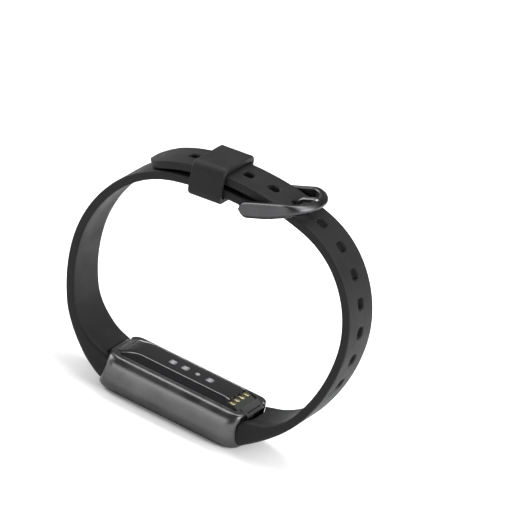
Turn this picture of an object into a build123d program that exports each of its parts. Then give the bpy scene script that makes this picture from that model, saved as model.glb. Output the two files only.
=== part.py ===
from build123d import *
import os
from math import asin, cos, degrees, radians, sin, sqrt

os.makedirs("parts", exist_ok=True)

# A fitness tracker on its buckled wrist band, standing on its display face.
# Origin: centre of the display glass's flat face.  +X runs along the pod towards the charging contacts,
# +Z from the display towards the skin side, +Y is the wrist's direction.  Millimetres.

# ---------------------------------------------------------------- pod: overall sizes
pod_width = 17.6
pod_height = 10.05
pod_end_x = 17.1              # half length of the case at the waist of its hollow end faces
pod_corner_radius = 4.6       # seen from the display side
end_arc_radius = 16.0         # hollow of the case's end faces, about the Y axis
end_arc_z = 7.0

# case section
rim_z = 0.75                  # rim round the glass
rim_inset = 1.25              # from the case's widest line to the rim
side_low_z = 3.75             # the flat of the side wall starts here
side_high_z = pod_height - 5.3  # and ends here
seam_inset = 3.05             # from the case's widest line to the back cover's seam
cover_z = pod_height - 1.4    # height of that seam
wall = 1.5
end_wall = 4.2                # from the waist of the end face to the inner cavity
cavity_corner = 2.0

# glass, display and their adhesive
glass_thickness = 1.25
glass_gap = 0.05
glass_lip = 0.35              # metal left round the glass
glass_edge_rounding = 0.8
glass_corner = 3.8
gasket_thickness = 0.15
gasket_width = 1.1
gasket_gap = 0.05
panel_thickness = 0.9
panel_gap = 0.15

# back cover and sensor
cover_slope_width = 2.05      # sloping side of the cover, from the seam to the raised flat
cover_end_inset = 1.8         # from the waist of the end face to the cover's end
cover_end_slope = 3.0         # the flat slopes down to the ends over this length
cover_end_z = pod_height - 1.0
cover_wall = 1.0
cover_seat_z = pod_height - 1.75
cover_corner = 1.0
cover_gap = 0.05
seal_height = 0.25
seal_width = 0.7
sensor_room = (8.0, 3.2)      # half length and half width
sensor_board_margin = (0.8, 0.5)
sensor_board_thickness = 0.4
window_pitch = 3.2
window_first_x = -4.4
window_sizes = [(1.8, 2.0), (1.8, 2.0), (1.1, 1.3), (1.8, 2.0)]
bond_gap = 0.02

# charging contacts
contact_count = 4
contact_pitch = 2.25
contact_size = (1.5, 0.85)
contact_from_flat = 0.8       # from the start of the cover's slope to the contacts' middle
contact_proud = 0.08
carrier_depth = 0.6           # below the cover's own surface
carrier_width = 9.4

# inner stack
clearance = 0.1
frame_wall = 0.9
frame_floor = 0.6
battery_gap = 1.4             # between the battery and the motor
battery_thickness = 2.9
board_thickness = 0.8
motor_radius = 3.4
motor_height = 2.7
motor_can_wall = 0.2
chip_height = 0.55
rotor_gap = 0.1
rotor_pin_radius = 0.4
running_gap = 0.04

# strap-end latches
tongue_width = 8.4
tongue_height = 2.0
tongue_z = 2.95
tongue_depth = 3.4            # reach into the pod, from the waist of its end face
tongue_root = 1.2             # length held inside the strap's root
button_width = 7.8
button_length = 1.65          # of its stem, in the well
button_lip = 0.83             # its cap reaches this much further out
button_lip_z = 7.75           # underside of the cap
button_from_cover = 0.12      # gap between the cover's end and the button
button_drop = 0.85            # the button's top falls by this much towards the strap
button_corner = 0.5
button_travel = 0.5           # down, against the leaf
leaf_pressed = 1.25           # height left for the leaf when the button is down
button_gap = 0.08             # between the button and its well
button_lug = 0.8
slit_from_edge = 0.8          # from the cap's outer edge
slit_width = 0.25
slit_half_length = 3.2
leaf_thickness = 0.15
leaf_width = 3.0

# ---------------------------------------------------------------- band
strap_width = 11.9
strap_thickness = 2.0
layer_gap = 1.0               # between the two layers at the crown
crown_z = 55.45               # middle of the buckle-side strap at the crown
crown_radius = 62.0
# tangent arcs from the crown down to each shoulder: radius, and the angle from the crown where it ends
buckle_side_arcs = [(22.0, 54.0), (26.9, 90.0), (35.2, 113.3)]
hole_side_arcs = [(22.0, 50.5), (25.7, 92.0), (37.6, 121.0)]
buckle_side_inset = 7.423     # centre of the first of these arcs, in from the waist of the pod's end
hole_side_inset = 5.248
tail_lead = 5.0               # the tail leaves the crown this many degrees before the layer below does
tail_arc_radius = 30.0        # and bends down on to it
tail_end_radius = 5.4

# shoulders, where the straps thicken to meet the pod
root_bottom_z = 1.1
root_top_z = pod_height - 2.65
root_top_out = 1.45           # from the waist of the pod's end to the root's top edge
root_relief_z = pod_height - 3.15
outer_slope = 35.0
inner_slope = 20.0
outer_handle = 5.2
inner_handle = 4.3
root_flare = 0.65             # the root is wider than the strap by this much on each side
root_length = 1.9             # full width as far as this from the waist of the pod's end
shoulder_length = 8.4         # and the strap's own width from here on
shoulder_edge = 2.6
seam_gap = 0.1

# adjustment holes
hole_count = 12
hole_pitch = 6.5
hole_from_tip = 10.2
hole_size = 2.6
hole_corner = 0.75
tang_hole = 4                 # the fifth hole holds the tang
tang_hole_run = 12.62         # and lies this far along from the crown's middle

# keeper loop
keeper_length = 7.9
keeper_side_wall = 1.2
keeper_wall = 1.25
keeper_side_gap = 0.35
keeper_gap = 0.25
keeper_angle = -5.9           # place along the crown, degrees from its middle
keeper_corner = 2.1

# buckle
pin_x = 5.0
pin_radius = 0.75
pin_gap = 0.05
boss_wall = 0.75
buckle_tilt = 21.5
buckle_side_gap = 0.47        # between the strap and a limb
buckle_limb = 1.9             # width of a limb
pin_inset = 0.8               # from a limb's outer side to the pin's end
buckle_height = 3.7
buckle_heel = 2.5             # behind the pin
buckle_straight = 8.8         # straight part of the limbs, ahead of the pin
buckle_nose = 5.9             # rounded end
buckle_bar = 2.3
bar_top = 1.3                 # above the buckle's middle plane
bar_below = 1.9               # its underside, from the level of the band's outer face at the pin
limb_under = 0.15             # the limbs' underside, below the bar's
tang_width = 1.5
tang_thickness = 0.9
tang_slot_gap = 0.2
tang_ring_wall = 0.6
tang_under_gap = 0.35
tang_low_bend = 0.9
tang_high_bend = 2.2
tang_reach = 13.6
notch_depth = 0.5
notch_lift = 0.05             # air under the tang's tip
notch_gap = 0.2


def save(name, shape):
    """Writes one piece, or one group of like pieces, to its own file."""
    export_step(shape, f"parts/{name}.step")


def block(x0, x1, y0, y1, z0, z1):
    """Box between two corners."""
    return Pos((x0 + x1) / 2, (y0 + y1) / 2, (z0 + z1) / 2) * Box(x1 - x0, y1 - y0, z1 - z0)


def plate(half_x, half_y, radius, z0, z1):
    """Rounded rectangular plate lying flat."""
    outline = RectangleRounded(2 * half_x, 2 * half_y, radius)
    return extrude(Pos(0, 0, z0) * outline, amount=z1 - z0)


def across(profile, width):
    """Profile in the XZ plane, drawn out to both sides of the middle plane."""
    return extrude(Plane.XZ * profile, amount=width / 2, both=True)


def along(section, length):
    """Section in the YZ plane, drawn out along the pod."""
    return extrude(Plane.YZ * section, amount=length / 2, both=True)


# ---------------------------------------------------------------- pod casing
rim_y = pod_width / 2 - rim_inset
cover_y = pod_width / 2 - seam_inset
cover_flat_y = cover_y - cover_slope_width
cover_end_x = pod_end_x - cover_end_inset
cover_flat_x = cover_end_x - cover_end_slope
contact_x = cover_flat_x + contact_from_flat
button_x = cover_end_x + button_from_cover
end_wall_x = pod_end_x - end_wall


def end_x(z, inset=0.0):
    """X of the hollow end face at height z, or of a surface a little way outside it."""
    centre = pod_end_x + end_arc_radius
    return centre - sqrt((end_arc_radius - inset) ** 2 - (z - end_arc_z) ** 2)


def case_section():
    """The case's rounded section, from the glass rim to the back cover's seam."""
    half = pod_width / 2
    right = [
        TangentArc((half, side_low_z), (rim_y, rim_z), tangent=(0, -1)),
        Line((half, side_low_z), (half, side_high_z)),
        TangentArc((half, side_high_z), (cover_y, cover_z), tangent=(0, 1)),
    ]
    left = [mirror(edge, about=Plane.YZ) for edge in right]
    closing = [Line((-rim_y, rim_z), (rim_y, rim_z)), Line((-cover_y, cover_z), (cover_y, cover_z))]
    return make_face([*right, *left, *closing])


def end_profile(z0, z1):
    """Side view of the pod between two heights, with its hollow ends."""
    middle = (z0 + z1) / 2
    ends = [
        ThreePointArc(*((side * end_x(z), z) for z in (z0, middle, z1)))
        for side in (-1, 1)
    ]
    low = Line((-end_x(z0), z0), (end_x(z0), z0))
    high = Line((-end_x(z1), z1), (end_x(z1), z1))
    return make_face([*ends, low, high])


glass_half_x = end_x(rim_z) - glass_lip - glass_gap
glass_half_y = rim_y - glass_lip
ledge_z = glass_thickness + gasket_thickness
panel_top_z = glass_thickness + panel_thickness
cavity_floor_z = panel_top_z + 0.15
cavity_half_y = pod_width / 2 - wall
shelf_z = cover_seat_z - seal_height - 0.6
cover_half_y = cover_y - 0.4
cover_lip_y = cover_y - 0.65 - seal_width
pocket_end_x = pod_end_x - tongue_depth
button_z = tongue_z + tongue_height + leaf_pressed + button_travel


def front_glass():
    """Cover glass with its edge rounded down towards the rim."""
    glass = plate(glass_half_x, glass_half_y, glass_corner, 0, glass_thickness)
    return fillet(glass.faces().sort_by(Axis.Z)[0].edges(), glass_edge_rounding)


def case_shell():
    """Metal case: one ring-shaped wall with a glass recess, a cavity and a latch pocket at each end."""
    top_z = cover_z
    shell = along(case_section(), 60) & across(end_profile(rim_z, top_z), pod_width)
    shell &= plate(end_x(rim_z), pod_width / 2, pod_corner_radius, 0, pod_height)
    shell -= plate(glass_half_x + glass_gap, glass_half_y + glass_gap, glass_corner + glass_gap, 0, ledge_z)
    shell -= plate(glass_half_x - gasket_width, glass_half_y - gasket_width, cavity_corner, 0, cavity_floor_z)
    shell -= plate(end_wall_x, cavity_half_y, cavity_corner, cavity_floor_z, shelf_z)
    shell -= plate(end_wall_x, cover_lip_y + clearance, cavity_corner, cavity_floor_z, pod_height)
    shell -= plate(cover_end_x + cover_gap, cover_half_y + cover_gap, cover_corner,
                   cover_seat_z - seal_height, pod_height)
    for side in (-1, 1):
        shell -= latch_space(side)
    return shell


def latch_space(side):
    """Pocket for the strap's tongue, the spring over it and the release button's well."""
    half = tongue_width / 2 + clearance
    top = tongue_z + tongue_height + clearance
    pocket = block(pocket_end_x, 30, -half, half, tongue_z - clearance, top)
    room = button_width / 2 + button_gap
    spring = block(button_x - button_lug - button_gap, 30, -room, room, top - clearance, button_z)
    lug = block(button_x - button_lug - button_gap, 30, -room, room, button_z, button_z + button_lug)
    well = block(button_x - button_gap, 30, -room, room, button_z, pod_height + 1)
    space = pocket + spring + lug + well
    return space if side > 0 else mirror(space, about=Plane.YZ)


def cover_surface_z(x):
    """Height of the back cover's ridge: level in the middle, sloping down at both ends."""
    slope = (pod_height - cover_end_z) / (cover_end_x - cover_flat_x)
    return pod_height - max(0.0, abs(x) - cover_flat_x) * slope


def back_cover_body():
    """The cover's outer form, before it is hollowed."""
    half = cover_half_y
    section = Polyline(
        (-half, cover_seat_z), (half, cover_seat_z), (half, cover_z),
        (cover_flat_y, pod_height), (-cover_flat_y, pod_height), (-half, cover_z), close=True,
    )
    ridge = Polyline(
        (-cover_end_x, cover_seat_z), (cover_end_x, cover_seat_z), (cover_end_x, cover_end_z),
        (cover_flat_x, pod_height), (-cover_flat_x, pod_height), (-cover_end_x, cover_end_z), close=True,
    )
    body = along(make_face(section), 60) & across(make_face(ridge), pod_width)
    return body & plate(cover_end_x, half, cover_corner, 0, pod_height)


def carrier_body(half_y, x0, x1, sink):
    """Wedge that follows the sloping end of the cover, sunk below its surface."""
    side_view = Polyline(
        (x0, cover_seat_z), (x1, cover_seat_z), (x1, cover_surface_z(x1) - sink),
        (x0, cover_surface_z(x0) - sink), close=True,
    )
    return across(make_face(side_view), 2 * half_y)


def window_places():
    """Centre and size of each sensor window, from the far end to the contacts."""
    return [(window_first_x + i * window_pitch, *size) for i, size in enumerate(window_sizes)]


def contact_places():
    """Y of each charging contact, about the middle plane."""
    return [(i - (contact_count - 1) / 2) * contact_pitch for i in range(contact_count)]


carrier_x0 = cover_flat_x
carrier_x1 = cover_end_x
sensor_room_z = pod_height - cover_wall
lip_z = cover_seat_z - 0.5
lip_width = 0.8


def back_cover():
    """Gloss black cover with a locating lip, a sensor room, its windows and the contact recess."""
    cover = back_cover_body()
    cover += ring_plate(end_wall_x - clearance, cover_lip_y, cavity_corner - clearance, lip_width,
                        lip_z, cover_seat_z)
    room_x, room_y = sensor_room
    cover -= block(-room_x, room_x, -room_y, room_y, 0, sensor_room_z)
    cover -= carrier_body(carrier_width / 2, carrier_x0, carrier_x1 + 1, -3)
    for x, length, width in window_places():
        cover -= block(x - length / 2, x + length / 2, -width / 2, width / 2, 0, pod_height + 1)
    return cover


def sensor_windows():
    """Light pipes, flush with the cover's flat."""
    windows = []
    for x, length, width in window_places():
        half_x = length / 2 - bond_gap
        half_y = width / 2 - bond_gap
        windows.append(block(x - half_x, x + half_x, -half_y, half_y, sensor_room_z, pod_height))
    return Compound(children=windows)


def contact_carrier():
    """Moulded insert that holds the charging contacts."""
    carrier = carrier_body(carrier_width / 2 - bond_gap, carrier_x0 + bond_gap, carrier_x1, carrier_depth)
    for y in contact_places():
        carrier -= contact(y, bond_gap)
    return carrier


def contact(y, grow=0.0):
    """One plated contact with rounded ends, standing a little proud of the insert."""
    length, width = contact_size
    outline = SlotOverall(length + 2 * grow, width + 2 * grow)
    top = cover_surface_z(contact_x) - carrier_depth + contact_proud
    return extrude(Pos(contact_x, y, cover_seat_z) * outline, amount=top - cover_seat_z + grow)


def ring_plate(half_x, half_y, radius, width, z0, z1):
    """Flat rectangular ring."""
    ring = plate(half_x, half_y, radius, z0, z1)
    return ring - plate(half_x - width, half_y - width, max(radius - width, 0.3), z0 - 1, z1 + 1)


# ---------------------------------------------------------------- inner stack
frame_z0 = cavity_floor_z + 0.05
frame_z1 = shelf_z - clearance
stack_z = frame_z0 + frame_floor + 0.05
board_z = stack_z + battery_thickness + 0.15
frame_half_x = end_wall_x - clearance
frame_half_y = cavity_half_y - clearance
inner_half_x = frame_half_x - frame_wall
inner_half_y = frame_half_y - frame_wall
board_half_x = inner_half_x - clearance
board_half_y = inner_half_y - clearance
battery_x0 = -board_half_x
motor_x = board_half_x - motor_radius
battery_x1 = motor_x - motor_radius - battery_gap


def midframe():
    """Moulded tray that carries the battery, the motor and the board."""
    corner = cavity_corner - clearance
    tray = plate(frame_half_x, frame_half_y, corner, frame_z0, frame_z1)
    tray -= plate(inner_half_x, inner_half_y, corner - frame_wall, frame_z0 + frame_floor, frame_z1 + 1)
    return tray - block(-9.0, -5.0, -4.5, 4.5, 0, frame_z0 + frame_floor)


def motor_can():
    """Closed coin-motor can with a fixed spindle for its rotor."""
    can = Cylinder(motor_radius, motor_height)
    can -= Cylinder(motor_radius - motor_can_wall, motor_height - 2 * motor_can_wall)
    can += Cylinder(rotor_pin_radius, motor_height - motor_can_wall)
    return Pos(motor_x, 0, stack_z + motor_height / 2) * can


def motor_rotor():
    """Off-centre half disc that shakes the band as it turns."""
    radius = motor_radius - motor_can_wall - rotor_gap
    height = motor_height - 2 * motor_can_wall - 2 * rotor_gap
    disc = Cylinder(radius, height) & block(-radius, 0.8, -radius, radius, -height, height)
    rotor = disc - Cylinder(rotor_pin_radius + running_gap, height)
    return Pos(motor_x, 0, stack_z + motor_height / 2) * rotor


def board_chips():
    """Packages on the board: processor, radio, memory and the motion sensor."""
    z0 = board_z + board_thickness
    sizes = [(-8.0, 0.6, 4.4, 4.4), (-2.4, -1.4, 3.0, 3.6), (2.6, 1.2, 3.2, 2.6), (7.6, -1.0, 2.4, 2.4)]
    return Compound(children=[
        block(x - length / 2, x + length / 2, y - width / 2, y + width / 2, z0, z0 + chip_height)
        for x, y, length, width in sizes
    ])


sensor_board_z = sensor_room_z - 1.05


def sensor_board():
    """Small board that hangs in the cover's sensor room."""
    half_x, half_y = (size - margin for size, margin in zip(sensor_room, sensor_board_margin))
    return plate(half_x, half_y, 0.5, sensor_board_z, sensor_board_z + sensor_board_thickness)


def sensor_leds():
    """Emitters and the photodiode, one under each window."""
    z0 = sensor_board_z + sensor_board_thickness
    return Compound(children=[
        block(x - 0.7, x + 0.7, -0.6, 0.6, z0, sensor_room_z - 0.1) for x, _, _ in window_places()
    ])


# ---------------------------------------------------------------- strap centre lines
hole_crown_z = crown_z + strap_thickness + layer_gap
hole_crown_radius = crown_radius + strap_thickness + layer_gap
crown_centre_z = crown_z - crown_radius


def arc_run(start_z, arcs):
    """Tangent arcs that leave the crown level and turn down: centre, radius, first and last angle."""
    run = []
    x, z, angle = 0.0, start_z, 0.0
    for radius, last in arcs:
        centre = (x - radius * sin(radians(angle)), z - radius * cos(radians(angle)))
        run.append((centre, radius, angle, last))
        angle = last
        x = centre[0] + radius * sin(radians(angle))
        z = centre[1] + radius * cos(radians(angle))
    return run


def on_arc(centre, radius, angle, side):
    """Point of an arc; side -1 mirrors it to the buckle side."""
    return (side * (centre[0] + radius * sin(radians(angle))), centre[1] + radius * cos(radians(angle)))


def offset_edges(run, offset, side):
    """The same arcs, moved out from the centre line by offset."""
    return [
        ThreePointArc(*(on_arc(centre, radius + offset, angle, side)
                        for angle in (first, (first + last) / 2, last)))
        for centre, radius, first, last in run
    ]


def run_length(run):
    """Length of the centre line along the arcs."""
    return sum(radius * radians(last - first) for _, radius, first, last in run)


def place_on(run, distance, side):
    """Point and angle at a distance from the crown along the arcs."""
    for centre, radius, first, last in run:
        length = radius * radians(last - first)
        if distance <= length:
            break
        distance -= length
    angle = first + degrees(distance / radius)
    return on_arc(centre, radius, angle, side), side * angle


def crown_angle(radius, side_arcs, inset):
    """Where the crown arc ends, so that the side arcs come down over the pod's end."""
    return degrees(asin((pod_end_x - inset) / (radius - side_arcs[0][0])))


def tail_run():
    """Crown arc and the bend of the tail, as long as the holes up to the tang's one need."""
    leaves = buckle_crown_angle - tail_lead
    length = hole_from_tip + tang_hole * hole_pitch - tang_hole_run
    bend = degrees((length - hole_crown_radius * radians(leaves)) / tail_arc_radius)
    return arc_run(hole_crown_z, [(hole_crown_radius, leaves), (tail_arc_radius, leaves + bend)])


boss_radius = pin_radius + pin_gap + boss_wall
tang_ring_radius = pin_radius + pin_gap + tang_ring_wall
buckle_opening = strap_width / 2 + buckle_side_gap
buckle_half_width = buckle_opening + buckle_limb
pin_length = 2 * (buckle_half_width - pin_inset)
pin_angle = degrees(asin(pin_x / crown_radius))
pin_z = crown_centre_z + crown_radius * cos(radians(pin_angle))
buckle_crown_angle = crown_angle(crown_radius, buckle_side_arcs, buckle_side_inset)
hole_crown_angle = crown_angle(hole_crown_radius, hole_side_arcs, hole_side_inset)
buckle_run = arc_run(crown_z, [(crown_radius, buckle_crown_angle), *buckle_side_arcs])
buckle_tail = arc_run(crown_z, [(crown_radius, pin_angle)])
hole_run = arc_run(hole_crown_z, [(hole_crown_radius, hole_crown_angle), *hole_side_arcs])
hole_tail = tail_run()
root_width = strap_width + 2 * root_flare


def shoulder_edge_curve(run, side, offset, end, slope, handle):
    """Curve from the last arc to the strap's root, tangent to both."""
    centre, radius, _, last = run[-1]
    start = on_arc(centre, radius + offset, last, side)
    lead = (start[0] + side * handle * cos(radians(last)), start[1] - handle * sin(radians(last)))
    finish = (side * end[0], end[1])
    approach = (finish[0] + side * handle * cos(radians(slope)), finish[1] + handle * sin(radians(slope)))
    return Bezier(start, lead, approach, finish)


def strap_solid(run, tail, side):
    """Strap of full section: its tail, the arcs down to the shoulder, the shoulder and its root."""
    half = strap_thickness / 2
    edges = [*offset_edges(run, half, side), *offset_edges(run, -half, side)]
    edges += [*offset_edges(tail, half, -side), *offset_edges(tail, -half, -side)]
    centre, radius, _, last = tail[-1]
    edges.append(Line(*(on_arc(centre, radius + offset, last, -side) for offset in (half, -half))))
    low = (end_x(root_bottom_z, seam_gap), root_bottom_z)
    high = (pod_end_x + root_top_out, root_top_z)
    edges.append(shoulder_edge_curve(run, side, half, low, outer_slope, outer_handle))
    edges.append(shoulder_edge_curve(run, side, -half, high, inner_slope, inner_handle))
    heights = (low[1], (low[1] + root_relief_z) / 2, root_relief_z)
    edges.append(ThreePointArc(*((side * end_x(z, seam_gap), z) for z in heights)))
    edges.append(Line((side * end_x(root_relief_z, seam_gap), root_relief_z), (side * high[0], high[1])))
    profile = make_face(edges)
    strap = across(profile, strap_width)
    return strap + shoulder_cheeks(profile, side)


def shoulder_cheeks(profile, side):
    """The wider part next to the pod, tapering to the strap's own width."""
    root, full, narrow = (side * (pod_end_x + x) for x in (-2, root_length, shoulder_length))
    wide, half = root_width / 2, strap_width / 2
    taper = Polyline((root, -wide), (full, -wide), (narrow, -half), (narrow, half), (full, wide),
                     (root, wide), close=True)
    section = Pos(0, 11) * RectangleRounded(root_width, 20, shoulder_edge)
    limits = extrude(make_face(taper), amount=13) & along(section, 80)
    return across(profile, root_width) & limits


def tongue_pocket(side, grow):
    """Room in the strap's root for its rigid tongue."""
    half = tongue_width / 2 + grow
    x0 = pocket_end_x + clearance - grow
    x1 = end_x(root_bottom_z) + tongue_root + grow
    tongue = block(x0, x1, -half, half, tongue_z - grow, tongue_z + tongue_height + grow)
    return tongue if side > 0 else mirror(tongue, about=Plane.YZ)


def strap_plane(place, angle):
    """Plane on the strap's centre line: X along the strap, Z along its outward normal."""
    along_strap = (cos(radians(angle)), 0, -sin(radians(angle)))
    outward = (sin(radians(angle)), 0, cos(radians(angle)))
    return Plane(origin=(place[0], 0, place[1]), x_dir=along_strap, z_dir=outward)


def adjustment_hole(place, angle):
    """Rounded square cutter, square to the strap at one place of its centre line."""
    outline = RectangleRounded(hole_size, hole_size, hole_corner)
    return extrude(strap_plane(place, angle) * outline, amount=strap_thickness, both=True)


def hole_places():
    """Place and angle of each adjustment hole, from the tail's tip."""
    tail_length = run_length(hole_tail)
    places = []
    for i in range(hole_count):
        distance = hole_from_tip + i * hole_pitch - tail_length
        run, side = (hole_run, 1) if distance > 0 else (hole_tail, -1)
        places.append(place_on(run, abs(distance), side))
    return places


def hole_strap():
    """Strap with the adjustment holes and a rounded tail."""
    strap = strap_solid(hole_run, hole_tail, 1)
    for place, angle in hole_places():
        strap -= adjustment_hole(place, angle)
    strap -= tail_corners()
    return strap - tongue_pocket(1, bond_gap)


def tail_corners():
    """What is cut away to round the tail's tip, seen along the strap's normal."""
    centre, radius, _, last = hole_tail[-1]
    tip = on_arc(centre, radius, last, -1)
    blank = Pos(tail_end_radius / 2 - 0.5, 0) * Rectangle(tail_end_radius + 1, strap_width + 2)
    rounded = RectangleRounded(4 * tail_end_radius, strap_width, tail_end_radius)
    corners = blank - Pos(2 * tail_end_radius, 0) * rounded
    return extrude(strap_plane(tip, -last) * corners, amount=strap_thickness, both=True)


def buckle_strap():
    """Strap that carries the buckle: a boss round the pin, slotted for the tang."""
    strap = strap_solid(buckle_run, buckle_tail, -1)
    boss = Pos(pin_x, 0, pin_z) * Rot(90, 0, 0) * Cylinder(boss_radius, strap_width)
    strap += boss
    strap -= Pos(pin_x, 0, pin_z) * Rot(90, 0, 0) * Cylinder(pin_radius + pin_gap, strap_width + 2)
    half = tang_width / 2 + tang_slot_gap
    slot_x = pin_x - tang_ring_radius - tang_slot_gap
    strap -= block(slot_x, pin_x + 5, -half, half, pin_z - 4, pin_z + 4)
    return strap - tongue_pocket(-1, bond_gap)


# ---------------------------------------------------------------- latches
def latch_tongue(side):
    """Rigid tongue, moulded into the strap's root and held in the pod's pocket."""
    return tongue_pocket(side, 0.0)


def release_button(side):
    """Sloping button with a finger slit and a lug that keeps it in its well."""
    half = button_width / 2
    stem_x = button_x + button_length
    cap_x = stem_x + button_lip
    high = cover_end_z - 0.05
    low = high - button_drop
    side_view = Polyline(
        (button_x, button_z), (stem_x, button_z), (stem_x, button_lip_z), (cap_x, button_lip_z),
        (cap_x, low), (button_x, high), close=True,
    )
    button = across(make_face(side_view), button_width)
    button = fillet(button.edges().filter_by(Axis.Z), button_corner)
    button += block(button_x - button_lug, button_x + 0.3, -half, half, button_z, button_z + button_lug - 0.1)
    slit_x = cap_x - slit_from_edge
    button -= block(slit_x - slit_width / 2, slit_x + slit_width / 2, -slit_half_length, slit_half_length,
                    low - 0.1, high + 1)
    return button if side > 0 else mirror(button, about=Plane.YZ)


def latch_spring(side):
    """Bowed leaf between the tongue and the button."""
    low = tongue_z + tongue_height
    high = button_z
    x0 = button_x - button_lug + 0.05
    x1 = button_x + button_length - 0.1
    middle = (x0 + x1) / 2
    outer = ThreePointArc((x0, low), (middle, high), (x1, low))
    inner = ThreePointArc((x0 + leaf_thickness, low), (middle, high - leaf_thickness),
                          (x1 - leaf_thickness, low))
    feet = [Line((x0, low), (x0 + leaf_thickness, low)), Line((x1, low), (x1 - leaf_thickness, low))]
    leaf = across(make_face([outer, inner, *feet]), leaf_width)
    return leaf if side > 0 else mirror(leaf, about=Plane.YZ)


# ---------------------------------------------------------------- keeper and buckle
def keeper_loop():
    """Moulded loop that holds the tail down on the strap below."""
    low = crown_radius - strap_thickness / 2 - keeper_gap - keeper_length ** 2 / (8 * crown_radius)
    high = hole_crown_radius + strap_thickness / 2 + keeper_gap
    half_y = strap_width / 2 + keeper_side_gap
    outline = RectangleRounded(2 * (half_y + keeper_side_wall), high - low + 2 * keeper_wall, keeper_corner)
    opening = RectangleRounded(2 * half_y, high - low, keeper_corner - keeper_wall)
    loop = along(outline - opening, keeper_length)
    middle = (low + high) / 2
    return Pos(0, 0, crown_centre_z) * Rot(0, keeper_angle, 0) * Pos(0, 0, middle) * loop


buckle_place = Pos(pin_x, 0, pin_z) * Rot(0, -buckle_tilt, 0)


def buckle_outline(half_width, straight, nose):
    """Straight limbs closed by a rounded end, seen from above."""
    rounded = Pos(straight, 0) * Ellipse(nose, half_width)
    limbs = Pos((straight - 6) / 2, 0) * Rectangle(straight + 6, 2 * half_width)
    return limbs + rounded


def buckle_frame():
    """One-piece frame: two limbs from the pin to a rounded end bar with a notch for the tang."""
    plan = buckle_outline(buckle_half_width, buckle_straight, buckle_nose)
    plan -= buckle_outline(buckle_opening, buckle_straight, buckle_nose - buckle_bar)
    half = buckle_height / 2
    end = buckle_straight + buckle_nose + 1
    under = strap_thickness / 2 - bar_below
    heel = buckle_heel - half
    side_view = make_face([
        ThreePointArc((-heel, half), (-buckle_heel, 0), (-heel, -half)),
        Polyline((-heel, half), (buckle_straight, half), (end, bar_top), (end, under),
                 (buckle_straight, under - limb_under), (-heel, -half)),
    ])
    frame = extrude(plan, amount=4, both=True) & across(side_view, 4 * buckle_half_width)
    notch = tang_width / 2 + notch_gap
    frame -= block(buckle_straight, tang_reach + notch_gap, -notch, notch, bar_top - notch_depth, 4)
    frame -= Rot(90, 0, 0) * Cylinder(pin_radius, pin_length)
    return buckle_place * frame


def buckle_pin():
    """Steel pin, pressed into the limbs."""
    return Pos(pin_x, 0, pin_z) * Rot(90, 0, 0) * Cylinder(pin_radius, pin_length)


def buckle_tang():
    """Flat tang: a ring on the pin, a run under the strap, up through the hole and on to the end bar."""
    (hole_x, hole_z), angle = hole_places()[tang_hole]
    normal = (sin(radians(angle)), cos(radians(angle)))
    tilt = radians(buckle_tilt)
    rest = bar_top - notch_depth + notch_lift + tang_thickness / 2
    below = strap_thickness / 2 + tang_under_gap + tang_thickness / 2
    start = (hole_z - pin_z) * cos(tilt) - (hole_x - pin_x) * sin(tilt)
    above = (rest - start) / (normal[1] * cos(tilt) - normal[0] * sin(tilt))
    tip = (pin_x + tang_reach * cos(tilt) - rest * sin(tilt),
           pin_z + tang_reach * sin(tilt) + rest * cos(tilt))
    route = FilletPolyline(
        (pin_x, pin_z),
        (hole_x - below * normal[0], hole_z - below * normal[1]),
        (hole_x + above * normal[0], hole_z + above * normal[1]),
        tip,
        radius=[tang_low_bend, tang_high_bend],
    )
    tang = across(trace(route, tang_thickness), tang_width)
    tang += Pos(pin_x, 0, pin_z) * Rot(90, 0, 0) * Cylinder(tang_ring_radius, tang_width)
    return tang - Pos(pin_x, 0, pin_z) * Rot(90, 0, 0) * Cylinder(pin_radius + pin_gap, tang_width + 2)


# ---------------------------------------------------------------- write the pieces
save("front_glass", front_glass())
save("display_gasket", ring_plate(glass_half_x - gasket_gap, glass_half_y - gasket_gap, glass_corner - 0.2,
                                  gasket_width - 2 * gasket_gap, glass_thickness, ledge_z))
save("display_panel", plate(glass_half_x - gasket_width - panel_gap, glass_half_y - gasket_width - panel_gap,
                            2.6, glass_thickness, panel_top_z))
save("case_shell", case_shell())
save("back_seal", ring_plate(end_wall_x + seal_width, cover_lip_y + clearance + seal_width - 0.05, 2.4,
                             seal_width - 0.05, cover_seat_z - seal_height, cover_seat_z))
save("back_cover", back_cover())
save("sensor_windows", sensor_windows())
save("contact_carrier", contact_carrier())
save("charge_contacts", Compound(children=[contact(y) for y in contact_places()]))
save("midframe", midframe())
battery_plate = plate((battery_x1 - battery_x0) / 2, board_half_y, 1.2, stack_z, stack_z + battery_thickness)
save("battery_cell", Pos((battery_x0 + battery_x1) / 2, 0, 0) * battery_plate)
save("vibration_motor_can", motor_can())
save("vibration_motor_rotor", motor_rotor())
save("main_board", plate(board_half_x, board_half_y, 1.0, board_z, board_z + board_thickness))
save("board_chips", board_chips())
save("sensor_board", sensor_board())
save("sensor_leds", sensor_leds())
for side_name, side in (("hole_side", 1), ("buckle_side", -1)):
    save(f"latch_tongue_{side_name}", latch_tongue(side))
    save(f"release_button_{side_name}", release_button(side))
    save(f"latch_spring_{side_name}", latch_spring(side))
save("hole_strap", hole_strap())
save("buckle_strap", buckle_strap())
save("keeper_loop", keeper_loop())
save("buckle_frame", buckle_frame())
save("buckle_pin", buckle_pin())
save("buckle_tang", buckle_tang())
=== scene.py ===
from math import asin, cos, degrees, hypot, pi, radians, sin, sqrt

import bmesh
import bpy
from mathutils import Matrix, Vector


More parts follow.
